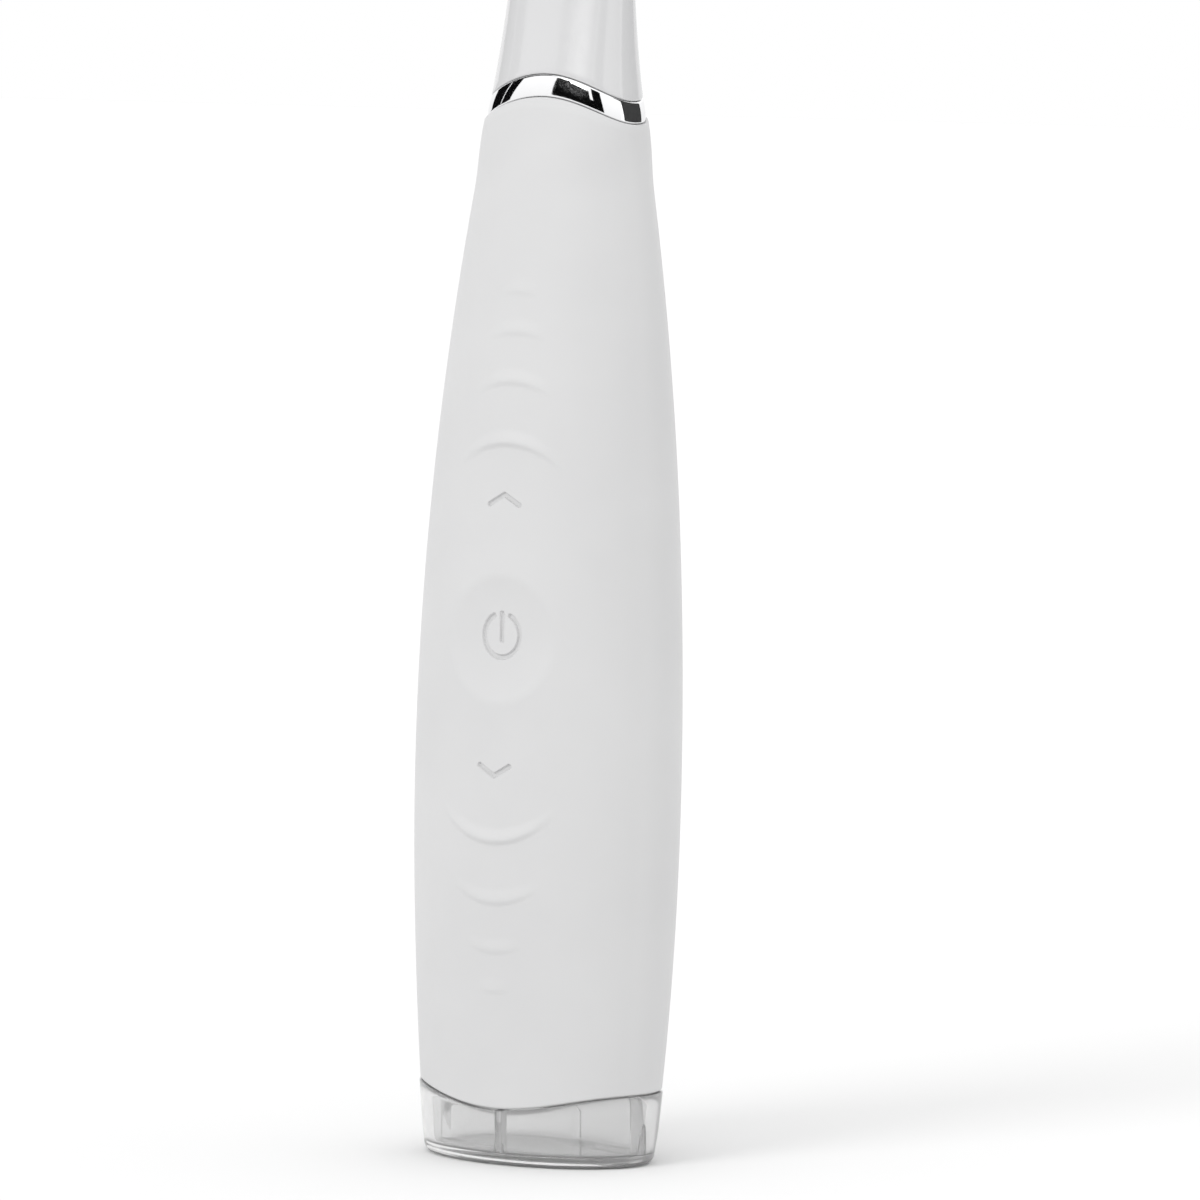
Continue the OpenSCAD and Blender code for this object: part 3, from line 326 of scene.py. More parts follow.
def union(obj, other):
    """Joins other into obj as one solid and removes other."""
    tool = obj.modifiers.new("join", "BOOLEAN")
    tool.operation, tool.solver, tool.object = "UNION", "EXACT", other
    bpy.context.view_layer.update()
    done = bpy.data.meshes.new_from_object(obj.evaluated_get(bpy.context.evaluated_depsgraph_get()))
    obj.modifiers.clear()
    obj.data = done
    bpy.data.objects.remove(other)


def quarter(start, end, steps):
    """Angles in radians from start to end, both in degrees."""
    return np.radians(np.linspace(start, end, steps))


def ring_seam(q):
    """How far the trim ring has fallen at q."""
    return -RING_FALL * q * q


def section_rings(profile, around, seam):
    """Rings of the outline for a profile of (inset, height at the centre, share of the seam's wave)."""
    t = np.linspace(0, 2 * np.pi, around, endpoint=False)
    rings = []
    for inset, z_mid, share in profile:
        q = np.abs(np.cos(t)) ** (2 / squareness(np.array(z_mid)))
        rings.append(skin(z_mid + share * seam(q), inset, t))
    return rings


# ------------------------------------------------------------------ the grip's skin

PATCH_HALF, PATCH_CELLS = 8.0, 40         # the square block round each key, and its cells along a side
PATCH_RINGS = 16                          # rings of cells from that square to the still circle
SIDE_CELLS, FINE_CELLS = 98, 9            # cells round the rest of a row; the fine ones lie beside the block
PLAIN_PITCH, KEY_PITCH, RIB_ROW_PITCH = 1.2, 0.4, 0.28
RELIEF_LOW, RELIEF_HIGH = 20, 116         # the heights between which rows lie close
LIP_R, LIP_STEPS = 0.38, 6
SEAM_REACH = 26.0                         # how far the seams' waves carry into the rows
PAD_PITCH, PAD_DEPTH = 0.1, 1.9
WEB_WEDGES, WEB_RINGS = 16, 12


def skin_rows():
    """Centre heights of the skin's rows, with a square block of rows round each key."""
    rows = []

    def run(z_a, z_b, pitch):
        count = max(1, round((z_b - z_a) / pitch))
        rows.extend(np.linspace(z_a, z_b, count, endpoint=False))

    low, high = BASE_SEAM_Z, RING_Z
    lip = LIP_R * (1 - np.cos(np.radians(np.linspace(0, 90, LIP_STEPS))))[:-1]
    rows.extend(low + lip)
    run(low + LIP_R, RELIEF_LOW, PLAIN_PITCH)
    edge, pitch = RELIEF_LOW, RIB_ROW_PITCH
    for centre in (DOWN_Z, POWER_Z, UP_Z):
        run(edge, centre - PATCH_HALF, pitch)
        run(centre - PATCH_HALF, centre + PATCH_HALF, 2 * PATCH_HALF / PATCH_CELLS)
        edge, pitch = centre + PATCH_HALF, KEY_PITCH
    run(edge, RELIEF_HIGH, RIB_ROW_PITCH)
    run(RELIEF_HIGH, high - LIP_R, PLAIN_PITCH)
    rows.extend(high - lip[::-1])
    rows.append(high)
    return np.array(sorted(set(np.round(rows, 6))))


def base_seam(q):
    """How far the lower seam has risen at q, the share of the half width from the centre."""
    return BASE_SEAM_RISE * q * q * (2 - q * q)


def seam_height(h, q):
    """Height of the row h at q, its share of the half width from the centre."""
    low = np.clip(1 - (h - BASE_SEAM_Z) / SEAM_REACH, 0, 1) ** 2
    high = np.clip(1 - (RING_Z - h) / SEAM_REACH, 0, 1) ** 2
    return h + base_seam(q) * low - RING_FALL * q * q * high


def lip_inset(h):
    """How far the skin rounds in at its two ends."""
    edge = np.minimum(h - BASE_SEAM_Z, RING_Z - h)
    u = np.clip(1 - edge / LIP_R, 0, 1)
    return LIP_R * (1 - np.sqrt(1 - u * u))


def row_angles(h):
    """Angles of the points round the row at h, whose first cells lie square across the front."""
    x_front = np.linspace(-PATCH_HALF, PATCH_HALF, PATCH_CELLS + 1)
    c = np.sign(x_front) * (np.abs(x_front) / float(half_w(h))) ** (float(squareness(h)) / 2)
    t_front = -np.arccos(c)
    fine = (t_front[-1] - t_front[-2]) * np.arange(1, FINE_CELLS + 1)
    right, left = t_front[-1] + fine, t_front[0] + 2 * np.pi - fine[::-1]
    back = np.linspace(right[-1], left[0], SIDE_CELLS - 2 * FINE_CELLS + 1)[1:-1]
    return np.concatenate([t_front, right, back, left])


def skin_row(h):
    """Outer points, their normals and inner points of the row at h."""
    t = row_angles(h)
    q = np.abs(np.cos(t)) ** (2 / float(squareness(h)))
    z = seam_height(h, q)
    inset = lip_inset(h)
    plain = skin(z, inset, t)
    normal = skin_normal(plain, inset)
    if inset > 0:
        lean = (inset - LIP_R) / LIP_R
        along = math.sqrt(max(0.0, 1 - lean * lean)) * (-1 if h < POWER_Z else 1)
        normal = unit(normal * -lean + np.array([0, 0, along]))
    points, normal = with_relief(plain, normal, np.sin(t) < 0)
    return points, normal, skin(z, SLEEVE_WALL, t)


def drop_unused(points, inside, normals, faces):
    """The same sheet without the points that no face uses."""
    used = np.unique(np.concatenate([np.array(f) for f in faces]))
    new_index = -np.ones(len(points), int)
    new_index[used] = np.arange(len(used))
    faces = [tuple(int(new_index[i]) for i in f) for f in faces]
    return points[used], inside[used], normals[used], faces


def grip_skin():
    """The whole sleeve, with a round hole in a square block of cells at each key."""
    rows = skin_rows()
    outer, normals, inner = zip(*(skin_row(h) for h in rows))
    width = PATCH_CELLS + SIDE_CELLS
    points, inside, normal = (np.concatenate(v) for v in (outer, inner, normals))
    blocks = []
    for centre, _, still_r in KEYS.values():
        first = int(np.argmin(np.abs(rows - (centre - PATCH_HALF))))
        blocks.append((first, first + PATCH_CELLS, centre, still_r))
    faces = []
    for r in range(len(rows) - 1):
        blocked = any(lo <= r < hi for lo, hi, _, _ in blocks)
        for c in range(width):
            if not (blocked and c < PATCH_CELLS):
                d, above = (c + 1) % width, (r + 1) * width
                faces.append((r * width + c, r * width + d, above + d, above + c))
    start = np.array(square_loop())
    ray = unit(start)
    for lo, hi, centre, still_r in blocks:
        loop = [lo * width + c for c in range(PATCH_CELLS)]
        loop += [r * width + PATCH_CELLS for r in range(lo, hi)]
        loop += [hi * width + c for c in range(PATCH_CELLS, 0, -1)]
        loop += [r * width for r in range(hi, lo, -1)]
        count, last = len(loop), np.array(loop)
        for k in range(1, PATCH_RINGS + 1):
            u = k / PATCH_RINGS
            place = start * (1 - u) + ray * still_r * u
            x, z = place[:, 0], place[:, 1] + centre
            p, m = front_points(x, z)
            ring = len(points) + np.arange(count)
            points = np.concatenate([points, p])
            normal = np.concatenate([normal, m])
            inside = np.concatenate([inside, front_inner(x, z, SLEEVE_WALL)])
            for i in range(count):
                j = (i + 1) % count
                faces.append((last[i], last[j], ring[j], ring[i]))
            last = ring
    points, inside, normal, faces = drop_unused(points, inside, normal, faces)
    return slab("grip_skin", points, inside, normal, faces)


def square_loop():
    """Corners of the cells along the square round a key, anticlockwise as seen from the front."""
    side = np.linspace(-PATCH_HALF, PATCH_HALF, PATCH_CELLS + 1)[:-1]
    places = [(s, -PATCH_HALF) for s in side] + [(PATCH_HALF, s) for s in side]
    places += [(-s, PATCH_HALF) for s in side] + [(-PATCH_HALF, -s) for s in side]
    return places


def key_pad(name, centre, moving_r):
    """The disc of skin that moves whole with a key."""
    rays = unit(np.array(square_loop()))
    count = len(rays)
    rings = int(round(moving_r / PAD_PITCH))
    x, z = [np.zeros(1)], [np.full(1, centre)]
    for k in range(1, rings + 1):
        r = moving_r * k / rings
        x.append(rays[:, 0] * r)
        z.append(rays[:, 1] * r + centre)
    x, z = np.concatenate(x), np.concatenate(z)
    faces = [(0, 1 + i, 1 + (i + 1) % count) for i in range(count)]
    for k in range(rings - 1):
        a, b = 1 + k * count, 1 + (k + 1) * count
        faces += [(a + i, b + i, b + (i + 1) % count, a + (i + 1) % count) for i in range(count)]
    points, normals = front_points(x, z)
    return slab(name, points, front_inner(x, z, PAD_DEPTH), normals, faces)


def key_web(name, centre, moving_r, still_r):
    """The ring of skin round a key, cut into wedges along its rays, each a piece of its own on no body."""
    rays = unit(np.array(square_loop()))
    count = len(rays)
    cells = count // WEB_WEDGES
    for w in range(WEB_WEDGES):
        picked = rays[(np.arange(cells + 1) + w * cells) % count]
        radius = np.linspace(moving_r, still_r, WEB_RINGS + 1)
        x = (radius[:, None] * picked[None, :, 0]).ravel()
        z = (radius[:, None] * picked[None, :, 1]).ravel() + centre
        row = cells + 1
        faces = [(r * row + i, (r + 1) * row + i, (r + 1) * row + i + 1, r * row + i + 1)
                 for r in range(WEB_RINGS) for i in range(cells)]
        points, normals = front_points(x, z)
        piece = slab(f"{name}_{w:02d}", points, front_inner(x, z, PAD_DEPTH), normals, faces)
        y = float(front_y(centre))
        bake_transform(piece)
        finish_piece(piece, "soft_grip", None)


# ------------------------------------------------------------------ ring, neck, blade and cap

def trim_ring():
    """The chrome band: rounded edges and a slightly crowned face."""
    low, outer, foot = RING_Z + BOND_GAP, RING_INSET, SLEEVE_WALL - 0.1
    r, crown = 0.32, 0.07
    profile = [(foot, low)]
    profile += [(outer + r - r * math.cos(a), low + r - r * math.sin(a)) for a in quarter(90, 0, 7)]
    profile += [(outer - crown * 4 * u * (1 - u), low + r + u * (RING_H - 2 * r))
                for u in np.linspace(0, 1, 9)[1:-1]]
    profile += [(outer + r - r * math.cos(a), low + RING_H - r + r * math.sin(a)) for a in quarter(0, 90, 7)]
    profile += [(foot, low + RING_H)]
    return loft("trim_band", section_rings([(i, z, 1) for i, z in profile], 256, ring_seam), closed=True)


def neck():
    """The gloss neck, whose foot follows the ring's wave and whose tip is rounded in."""
    low = RING_Z + RING_H + 2 * BOND_GAP
    shoulder = TUBE_TOP_Z + 1.8
    outer, foot_r, tip_r, wave_reach = RING_INSET, 0.28, 0.9, 20
    profile = [(outer + foot_r - foot_r * math.cos(a), low + foot_r - foot_r * math.sin(a), 1)
               for a in quarter(90, 0, 5)]
    for z in np.linspace(low + foot_r, TIP_Z - tip_r, 46)[1:]:
        profile.append((outer, z, max(0.0, 1 - (z - low) / wave_reach) ** 2))
    profile += [(outer + tip_r - tip_r * math.cos(a), TIP_Z - tip_r + tip_r * math.sin(a), 0)
                for a in quarter(0, 90, 7)[1:]]
    profile += [(neck_bore(z), z, 0) for z in np.linspace(TIP_Z, shoulder, 10)]
    profile += [(SLEEVE_WALL - BOND_GAP, shoulder, 0), (SLEEVE_WALL - BOND_GAP, low, 1)]
    return loft("neck_cover", section_rings(profile, 192, ring_seam), closed=True)


def blade():
    """The bent steel strip: a rounded thin section swept up its side view, thinning at the working edge."""
    foot = SHOULDER_Z - 15 - SHANK_H
    bend_z = TIP_Z + BLADE_RISE
    bend = math.radians(BLADE_BEND)
    arc_len = BLADE_BEND_R * bend
    straight = bend_z - foot
    total = straight + arc_len + BLADE_REACH
    foot_r, corner = 1.5, 2.6              # corners at the shank's foot and at the working edge
    narrow_half = 3                        # the shank narrows to the neck over twice this length
    flare, flare_len = straight - 2, 8
    edge_t, edge_from, edge_len = 0.22, 0.5, 4.5

    def centre(s):
        """Y, z and tilt of the strip's middle at length s."""
        if s < straight:
            return BLADE_Y, foot + s, 0.0
        a = min((s - straight) / BLADE_BEND_R, bend)
        y = BLADE_Y + BLADE_BEND_R * (1 - math.cos(a))
        z = bend_z + BLADE_BEND_R * math.sin(a)
        more = max(0.0, s - straight - arc_len)
        return y + more * math.sin(a), z + more * math.cos(a), a

    def half_width(s):
        if s < foot_r:
            return SHANK_W / 2 - foot_r + math.sqrt(foot_r**2 - (foot_r - s) ** 2)
        if s < SHANK_H - narrow_half:
            return SHANK_W / 2
        if s < SHANK_H + narrow_half:
            u = (s - SHANK_H + narrow_half) / (2 * narrow_half)
            return SHANK_W / 2 + (BLADE_NECK_W - SHANK_W) / 2 * float(smooth(u))
        w = BLADE_NECK_W / 2 + (BLADE_TIP_W - BLADE_NECK_W) / 2 * float(smooth((s - flare) / flare_len))
        left = total - s
        if left < corner:
            w += math.sqrt(max(0.0, corner**2 - (corner - left) ** 2)) - corner
        return w

    def thickness(s):
        return edge_t + (BLADE_T - edge_t) * float(smooth((total - s + edge_from) / edge_len))

    stops = np.concatenate([
        foot_r * (1 - np.cos(np.linspace(0, np.pi / 2, 8))), np.linspace(foot_r, flare, 60)[1:],
        np.linspace(flare, total - corner, 46)[1:],
        total - corner * (1 - np.sin(np.linspace(0, np.pi / 2, 14)))[1:],
    ])
    rings = []
    for s in stops:
        y, z, tilt = centre(s)
        w, th = half_width(s), thickness(s)
        r = min(th * 0.42, 0.3)
        ring = []
        for cx, cy, start in ((1, 1, 0), (-1, 1, 90), (-1, -1, 180), (1, -1, 270)):
            for k in range(5):
                b = math.radians(start + 22.5 * k)
                ring.append((cx * (w - r) + r * math.cos(b), cy * (th / 2 - r) + r * math.sin(b)))
        ring = np.array(ring)
        if s in (stops[0], stops[-1]):
            ring = ring * [1, 0.7]
        across, through = ring.T
        rings.append(np.stack([across, y + through * math.cos(tilt), z - through * math.sin(tilt)], -1))
    return loft("spatula_blade", rings, closed=False, cap_ends=True, sharp_angle=50)


def blade_boot():
    """The soft boot that closes the neck's tip round the blade."""
    room = 0.02
    slot_w, slot_t = BLADE_NECK_W / 2 + room, BLADE_T / 2 + room
    t = np.linspace(0, 2 * np.pi, 96, endpoint=False)

    def stadium(half, depth, z):
        """A ring round the blade with blunt ends."""
        c, s = np.cos(t), np.sin(t)
        x = np.sign(c) * np.abs(c) ** 0.35 * half
        y = BLADE_Y + np.sign(s) * np.abs(s) ** 0.9 * depth
        return np.stack([x, y, z + 0 * t], -1)

    low, top, collar = TIP_Z - 5, TIP_Z - 0.12, TIP_Z + 0.8
    rings = [skin(np.full_like(t, z), float(neck_bore(z) + BOND_GAP), t) for z in np.linspace(low, top, 4)]
    rings += [stadium(slot_w + wall, depth, z) for wall, depth, z in (
        (0.42, 0.82, top), (0.4, 0.8, TIP_Z + 0.45), (0.3, 0.72, TIP_Z + 0.72), (0.12, 0.58, collar))]
    rings += [stadium(slot_w, slot_t, collar), stadium(slot_w, slot_t, low)]
    return loft("blade_boot", rings, closed=True, sharp_angle=50)


def base_cap():
    """The clear cup with its rounded foot and four posts, joined into one solid."""
    rim = BASE_SEAM_Z - MOVE_GAP / 2
    rim_r, foot_r, floor_r = 0.18, 1.15, 0.6
    proud, inner, floor = -CAP_PROUD, CAP_WALL - CAP_PROUD, CAP_FLOOR
    profile = [(foot_r * 0.85 * (1 - math.sin(a)), foot_r * (1 - math.cos(a)), 0)
               for a in quarter(0, 90, 9)]
    for u in np.linspace(0, 1, 9)[1:]:
        z = foot_r + u * (rim - rim_r - foot_r)
        profile.append((proud * float(smooth(u * 3)), z, u))
    profile += [(proud + rim_r * (1 - math.cos(a)), rim - rim_r * (1 - math.sin(a)), 1)
                for a in quarter(0, 90, 5)[1:]]
    profile += [(inner - rim_r, rim, 1), (inner, rim - rim_r, 1)]
    for u in np.linspace(1, 0, 7)[1:]:
        profile.append((inner, floor + floor_r + u * (rim - rim_r - floor - floor_r), u))
    profile += [(inner + floor_r * (1 - math.cos(a)), floor + floor_r * (1 - math.sin(a)), 0)
                for a in quarter(0, 90, 6)[1:]]
    cup = loft("base_cup", section_rings(profile, 192, base_seam), closed=False, cap_ends=True,
               sharp_angle=60)
    side_rise, side_room, side_more = 2.4, 0.55, 2.0
    r, reach = POST_D / 2, SLEEVE_WALL + POST_D / 2
    side_x = float(half_w(BASE_SEAM_Z + side_rise)) - SLEEVE_WALL - POST_D / 2 - side_room
    places = [(0, float(front_y(BASE_SEAM_Z)) + reach, 0), (0, float(rear_y(BASE_SEAM_Z)) - reach, 0)]
    places += [(side * side_x, float(mid_y(BASE_SEAM_Z)), side_more) for side in (-1, 1)]
    t = np.linspace(0, 2 * np.pi, 32, endpoint=False)
    for k, (x, y, more) in enumerate(places):
        top = BASE_SEAM_Z + POST_GRIP + more
        steps = [(r + 0.35, floor - 0.4), (r + 0.35, floor - 0.02), (r + 0.1, floor + 0.12),
                 (r, floor + 0.4), (r, top - 0.3), (r - 0.1, top - 0.08), (r - 0.3, top)]
        rings = [np.stack([x + q * np.cos(t), y + q * np.sin(t), z + 0 * t], -1) for q, z in steps]
        union(cup, loft(f"post_{k}", rings, closed=False, cap_ends=True))
    return cup


# ------------------------------------------------------------------ materials

def new_material(name):
    mat = bpy.data.materials.new(name)
    mat.use_nodes = True
    nodes = mat.node_tree.nodes
    return mat, nodes, mat.node_tree.links, nodes["Principled BSDF"]


def coords(nodes, links, stretch=(1, 1, 1)):
    """Object coordinates in metres, optionally stretched."""
    place = nodes.new("ShaderNodeTexCoord")
    mapping = nodes.new("ShaderNodeMapping")
    mapping.inputs["Scale"].default_value = stretch
    links.new(place.outputs["Object"], mapping.inputs["Vector"])
    return mapping.outputs["Vector"]


def noise(nodes, links, vector, scale, detail=3.0, roughness=0.5):
    tex = nodes.new("ShaderNodeTexNoise")
    tex.inputs["Scale"].default_value = scale
    tex.inputs["Detail"].default_value = detail
    tex.inputs["Roughness"].default_value = roughness
    links.new(vector, tex.inputs["Vector"])
    return tex.outputs["Fac"]


def ramp(nodes, links, fac, low, high, start=0.35, end=0.65):
    """A colour or value that runs from low to high as fac crosses start to end."""
    node = nodes.new("ShaderNodeMapRange")
    node.inputs["From Min"].default_value = start
    node.inputs["From Max"].default_value = end
    if isinstance(low, (int, float)):
        node.inputs["To Min"].default_value = low
        node.inputs["To Max"].default_value = high
        links.new(fac, node.inputs["Value"])
        return node.outputs["Result"]
    node.data_type = "FLOAT_VECTOR"
    values = {"From Min": (start,) * 3, "From Max": (end,) * 3, "To Min": low, "To Max": high}
    for socket in node.inputs:
        if socket.type == "VECTOR" and socket.name in values:
            socket.default_value = values[socket.name]
        elif socket.type == "VECTOR" and socket.name == "Vector":
            links.new(fac, socket)
    return node.outputs["Vector"]


def bump(nodes, links, shader, height, strength, distance):
    node = nodes.new("ShaderNodeBump")
    node.inputs["Strength"].default_value = strength
    node.inputs["Distance"].default_value = distance
    links.new(height, node.inputs["Height"])
    links.new(node.outputs["Normal"], shader.inputs["Normal"])


def surface(name, low, high, rough, grain, patch, bump_mm, stretch=(1, 1, 1), **uniform):
    """A material with a slow drift of colour, a varied roughness and a fine grain.

    low and high are colours and rough is a pair of roughnesses; patch and grain are the scales per metre
    of the drift and of the grain; uniform holds values that are the same all over the surface.
    """
    mat, nodes, links, shader = new_material(name)
    at = coords(nodes, links, stretch)
    slow = noise(nodes, links, at, patch)
    fine = noise(nodes, links, at, grain, 2.0)
    links.new(ramp(nodes, links, slow, low, high), shader.inputs["Base Color"])
    links.new(ramp(nodes, links, fine, rough[0], rough[1]), shader.inputs["Roughness"])
    bump(nodes, links, shader, fine, 0.5, bump_mm * MM)
    for socket, value in uniform.items():
        shader.inputs[socket.replace("_", " ")].default_value = value
    return mat


def clear_plastic():
    """Lightly tinted clear plastic with a faint waviness."""
    mat, nodes, links, shader = new_material("clear_plastic")
    at = coords(nodes, links)
    fine = noise(nodes, links, at, 1300, 2.0)
    links.new(ramp(nodes, links, fine, 0.02, 0.045), shader.inputs["Roughness"])
    bump(nodes, links, shader, noise(nodes, links, at, 160, 1.0), 0.25, 0.02 * MM)
    shader.inputs["Base Color"].default_value = (0.86, 0.86, 0.86, 1)
    shader.inputs["Transmission Weight"].default_value = 0.82
    shader.inputs["IOR"].default_value = 1.49
    return mat


def board_green():
    """Solder mask with faint tracks under it."""
    mat, nodes, links, shader = new_material("board_green")
    at = coords(nodes, links)
    tracks = nodes.new("ShaderNodeTexBrick")
    tracks.inputs["Scale"].default_value = 260
    tracks.inputs["Mortar Size"].default_value = 0.06
    tracks.inputs["Color1"].default_value = (0.006, 0.09, 0.04, 1)
    tracks.inputs["Color2"].default_value = (0.008, 0.11, 0.05, 1)
    tracks.inputs["Mortar"].default_value = (0.02, 0.2, 0.1, 1)
    links.new(at, tracks.inputs["Vector"])
    links.new(tracks.outputs["Color"], shader.inputs["Base Color"])
    fine = noise(nodes, links, at, 3000)
    links.new(ramp(nodes, links, fine, 0.28, 0.4), shader.inputs["Roughness"])
    bump(nodes, links, shader, tracks.outputs["Fac"], 0.3, 0.01 * MM)
    return mat


def plain(name, value):
    """A dull even tone for the studio."""
    mat, _, _, shader = new_material(name)
    shader.inputs["Base Color"].default_value = (value, value, value, 1)
    shader.inputs["Roughness"].default_value = 1.0
    shader.inputs["Specular IOR Level"].default_value = 0.0
    return mat


# Each slot's two colours, two roughnesses, grain, patch and bump, then what is uniform
SURFACES = {
    "soft_grip": ((0.52, 0.52, 0.523), (0.54, 0.54, 0.542), (0.5, 0.62), 5200, 45, 0.012,
                  {"Specular_IOR_Level": 0.36, "Sheen_Weight": 0.12, "Sheen_Roughness": 0.5}),
    "white_gloss": ((0.52, 0.52, 0.525), (0.535, 0.535, 0.54), (0.17, 0.22), 900, 40, 0.002,
                    {"Coat_Weight": 0.5, "Coat_Roughness": 0.08}),
    "bright_trim": ((0.86, 0.86, 0.87), (0.9, 0.9, 0.905), (0.03, 0.06), 2400, 120, 0.0006,
                    {"Metallic": 1.0}),
    "blade_steel": ((0.5, 0.505, 0.51), (0.57, 0.575, 0.58), (0.17, 0.27), 3800, 90, 0.0008,
                    {"stretch": (1, 0.03, 0.03), "Metallic": 1.0, "Anisotropic": 0.4}),
    "screw_steel": ((0.5, 0.5, 0.51), (0.6, 0.6, 0.61), (0.25, 0.4), 4000, 300, 0.003, {"Metallic": 1.0}),
    "socket_metal": ((0.62, 0.63, 0.64), (0.7, 0.7, 0.71), (0.14, 0.26), 5000, 300, 0.002,
                     {"Metallic": 1.0}),
    "inner_plastic": ((0.66, 0.66, 0.65), (0.7, 0.7, 0.69), (0.36, 0.48), 2600, 80, 0.008, {}),
    "boot_silicone": ((0.55, 0.55, 0.555), (0.6, 0.6, 0.605), (0.42, 0.55), 4200, 120, 0.01, {}),
    "seal_rubber": ((0.012, 0.012, 0.012), (0.02, 0.02, 0.02), (0.5, 0.65), 4200, 200, 0.01, {}),
    "lead_insulation": ((0.5, 0.03, 0.025), (0.58, 0.045, 0.035), (0.35, 0.5), 3000, 200, 0.006, {}),
    "black_component": ((0.012, 0.012, 0.013), (0.025, 0.025, 0.027), (0.4, 0.6), 6000, 300, 0.006, {}),
    "cell_foil": ((0.5, 0.52, 0.55), (0.6, 0.62, 0.65), (0.25, 0.42), 1500, 150, 0.02, {"Metallic": 0.9}),
    "foam": ((0.03, 0.03, 0.034), (0.06, 0.06, 0.066), (0.85, 0.95), 5000, 900, 0.06, {}),
    "piezo_ceramic": ((0.62, 0.56, 0.42), (0.72, 0.66, 0.52), (0.4, 0.55), 3500, 300, 0.004, {}),
}
STUDIO_TONES = {"flag_black": 0.003, "flag_grey": 0.04, "floor_white": 0.73}

MATERIALS = {name: surface(name, *look, **uniform) for name, (*look, uniform) in SURFACES.items()}
MATERIALS.update(clear_plastic=clear_plastic(), board_green=board_green())
MATERIALS.update({name: plain(name, value) for name, value in STUDIO_TONES.items()})


def finish_piece(piece, slot, body, *nodes):
    """Gives a piece its material and slot, sets it on its body and hides the nodes it stands for."""
    piece.data.materials.clear()
    piece.data.materials.append(MATERIALS[slot])
    if body:
        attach(piece, body)
    if nodes:
        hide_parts(*nodes)
    return piece


def paint_cad_nodes():
    """Gives every carried-over CAD node the procedural material of its slot."""
    slots = {s["node"]: s["material_slot"] for s in frame["record"]["subparts"]}
    for name, obj in frame["nodes"].items():
        for place in obj.material_slots:
            place.link = "OBJECT"
            place.material = MATERIALS[slots[name]]


# ------------------------------------------------------------------ camera, floor and light

def camera():
    """A long lens at the front right, a little above, as the object is seen standing."""
    azimuth, elevation = math.radians(35), 0.09
    right = Vector((math.cos(azimuth), math.sin(azimuth), 0))
    forward = Vector((-math.sin(azimuth) * math.cos(elevation), math.cos(azimuth) * math.cos(elevation),
                      -math.sin(elevation)))
    up = right.cross(forward)
    aim = Vector((0, 0.5, 72.7)) * MM
    distance = 1.2
    place = aim - forward * distance
    turn_right, turn_up = 7.75, 0.18
    look = aim + (right * turn_right + up * turn_up) * MM - place
    data = bpy.data.cameras.new("camera")
    data.sensor_width = 36
    frame_width = 156 * MM
    data.lens = data.sensor_width * distance / frame_width
    obj = bpy.data.objects.new("camera", data)
    obj.location = place
    obj.rotation_euler = look.to_track_quat("-Z", "Y").to_euler()
    bpy.context.scene.collection.objects.link(obj)
    bpy.context.scene.camera = obj


def around(azimuth_deg, elevation_deg, distance):
    """A place round the object, where azimuth 0 is in front of it and 90 to its right."""
    a, e = math.radians(azimuth_deg), math.radians(elevation_deg)
    return Vector((math.sin(a) * math.cos(e), -math.cos(a) * math.cos(e), math.sin(e))) * distance


def sun(name, azimuth, elevation, strength, spread):
    """A distant soft light, whose spread is the angle it fills in degrees."""
    data = bpy.data.lights.new(name, "SUN")
    data.energy = strength
    data.angle = math.radians(spread)
    obj = bpy.data.objects.new(name, data)
    obj.rotation_euler = (-around(azimuth, elevation, 1.0)).to_track_quat("-Z", "Y").to_euler()
    bpy.context.scene.collection.objects.link(obj)
    return obj


def flag(name, from_azimuth, to_azimuth, low, high, tone="flag_black"):
    """A curved black studio flag that shows only as a dark band in bright metal and gloss."""
    radius, steps, middle = 0.9, 16, 0.12
    points = []
    for azimuth in np.linspace(from_azimuth, to_azimuth, steps + 1):
        foot = around(azimuth, 0, radius)
        for elevation in (low, high):
            points.append((foot.x, foot.y, middle + radius * math.tan(math.radians(elevation))))
    mesh = bpy.data.meshes.new(name)
    mesh.from_pydata(points, [], [(2 * k, 2 * k + 2, 2 * k + 3, 2 * k + 1) for k in range(steps)])
    obj = object_from(name, mesh)
    mesh.materials.append(MATERIALS[tone])
    obj.visible_camera = obj.visible_diffuse = obj.visible_shadow = obj.visible_transmission = False


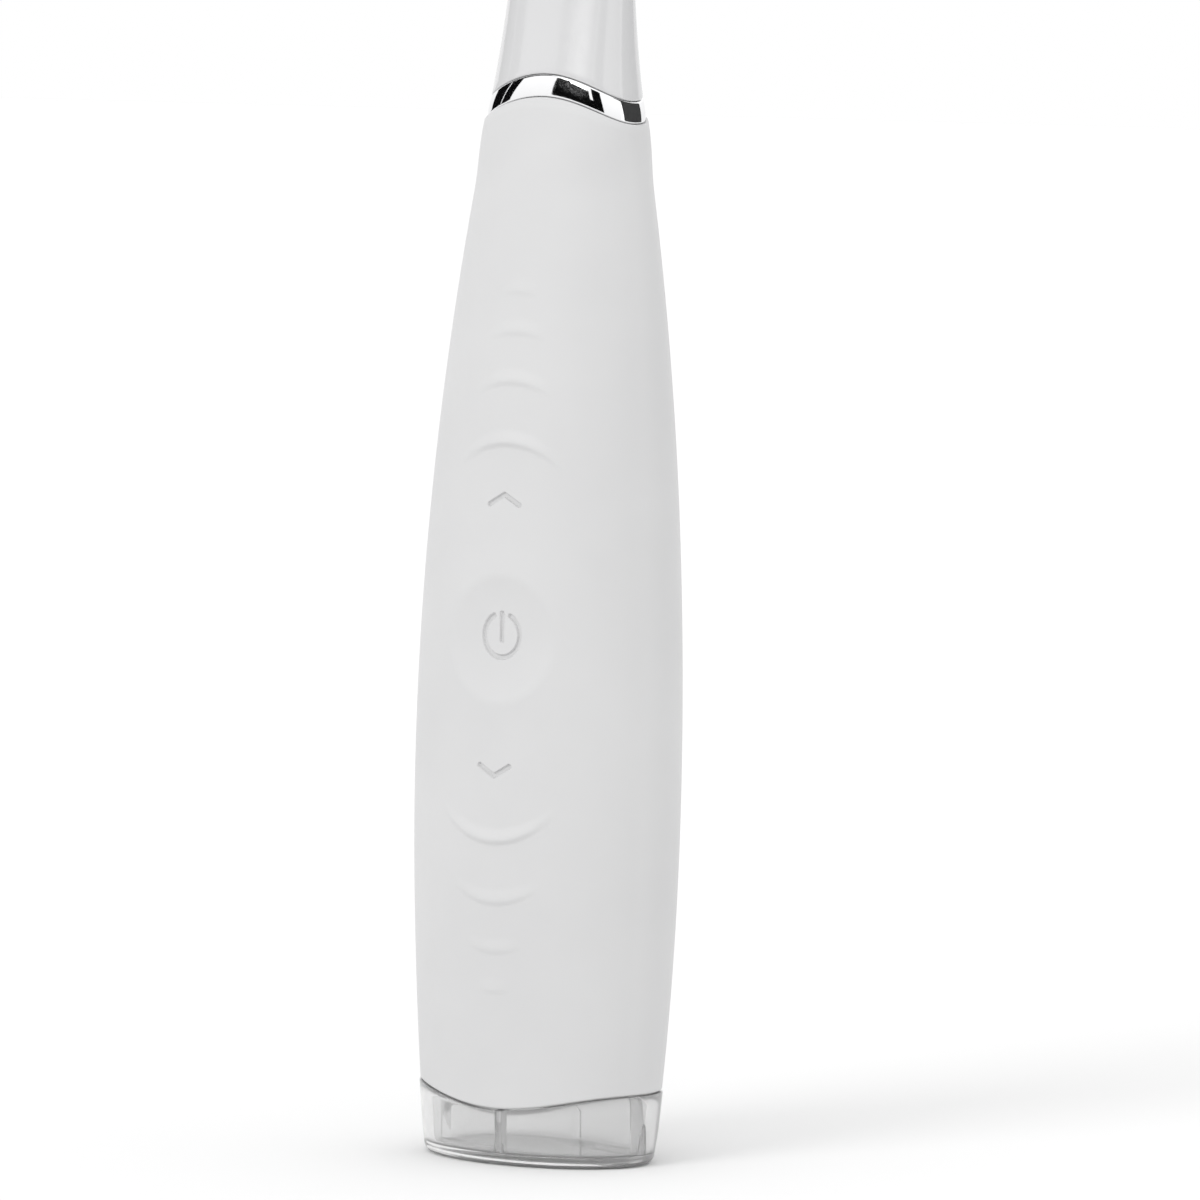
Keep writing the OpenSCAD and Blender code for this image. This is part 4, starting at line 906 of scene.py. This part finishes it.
def sky(horizon, zenith):
    """A white surround, a little brighter overhead."""
    world = bpy.data.worlds.new("studio")
    bpy.context.scene.world = world
    world.use_nodes = True
    nodes, links = world.node_tree.nodes, world.node_tree.links
    place = nodes.new("ShaderNodeTexCoord")
    split = nodes.new("ShaderNodeSeparateXYZ")
    rise = nodes.new("ShaderNodeMapRange")
    rise.inputs["To Min"].default_value = horizon
    rise.inputs["To Max"].default_value = zenith
    links.new(place.outputs["Generated"], split.inputs["Vector"])
    links.new(split.outputs["Z"], rise.inputs["Value"])
    links.new(rise.outputs["Result"], nodes["Background"].inputs["Strength"])
    nodes["Background"].inputs["Color"].default_value = (1, 1, 1, 1)


# Each flag's first and last azimuth, its low and high elevation, and its tone if it isn't black
FLAGS = (
    ("flag_left_a", -97, -69, -20, 60),
    ("flag_left_b", -67.5, -54.5, -20, 60),
    ("flag_mid_a", -33, -20, 8, 36),
    ("flag_mid_b", -21, 4, 4, 31),
    ("flag_mid_low", 3, 10, 4, 20),
    ("flag_mid_c", 9, 27, 4, 44),
    ("flag_right", 92, 156, -20, 60, "flag_grey"),
)


def studio():
    """A white sweep with soft light from the front left and flags round the sides."""
    bpy.context.scene.view_settings.view_transform = "Standard"
    sky(1.0, 1.35)
    mesh = bpy.data.meshes.new("floor")
    half = 3.0
    corners = [(-half, -half, 0), (half, -half, 0), (half, half, 0), (-half, half, 0)]
    mesh.from_pydata(corners, [], [(0, 1, 2, 3)])
    floor = object_from("floor", mesh)
    mesh.materials.append(MATERIALS["floor_white"])
    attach(floor, "cap")  # the cap stays standing on it when the handle is lifted off
    sun("key", -15, 30, 1.0, 28)
    sun("fill", 110, 4, 0.42, 60).data.use_shadow = False
    for name, *place in FLAGS:
        flag(name, *place)


# ------------------------------------------------------------------ build

camera()
studio()
paint_cad_nodes()

finish_piece(grip_skin(), "soft_grip", "handle", "grip_sleeve")
for key, (key_z, moving, still) in KEYS.items():
    finish_piece(key_pad(f"{key}_pad", key_z, moving), "soft_grip", f"{key}_key", f"{key}_button")
    key_web(f"{key}_web", key_z, moving, still)
finish_piece(trim_ring(), "bright_trim", "handle", "trim_ring")
finish_piece(neck(), "white_gloss", "handle", "neck_shell")
finish_piece(blade(), "blade_steel", "handle", "scrubber_blade")
finish_piece(blade_boot(), "boot_silicone", "handle", "blade_seal")
finish_piece(base_cap(), "clear_plastic", "cap", "base_cap")
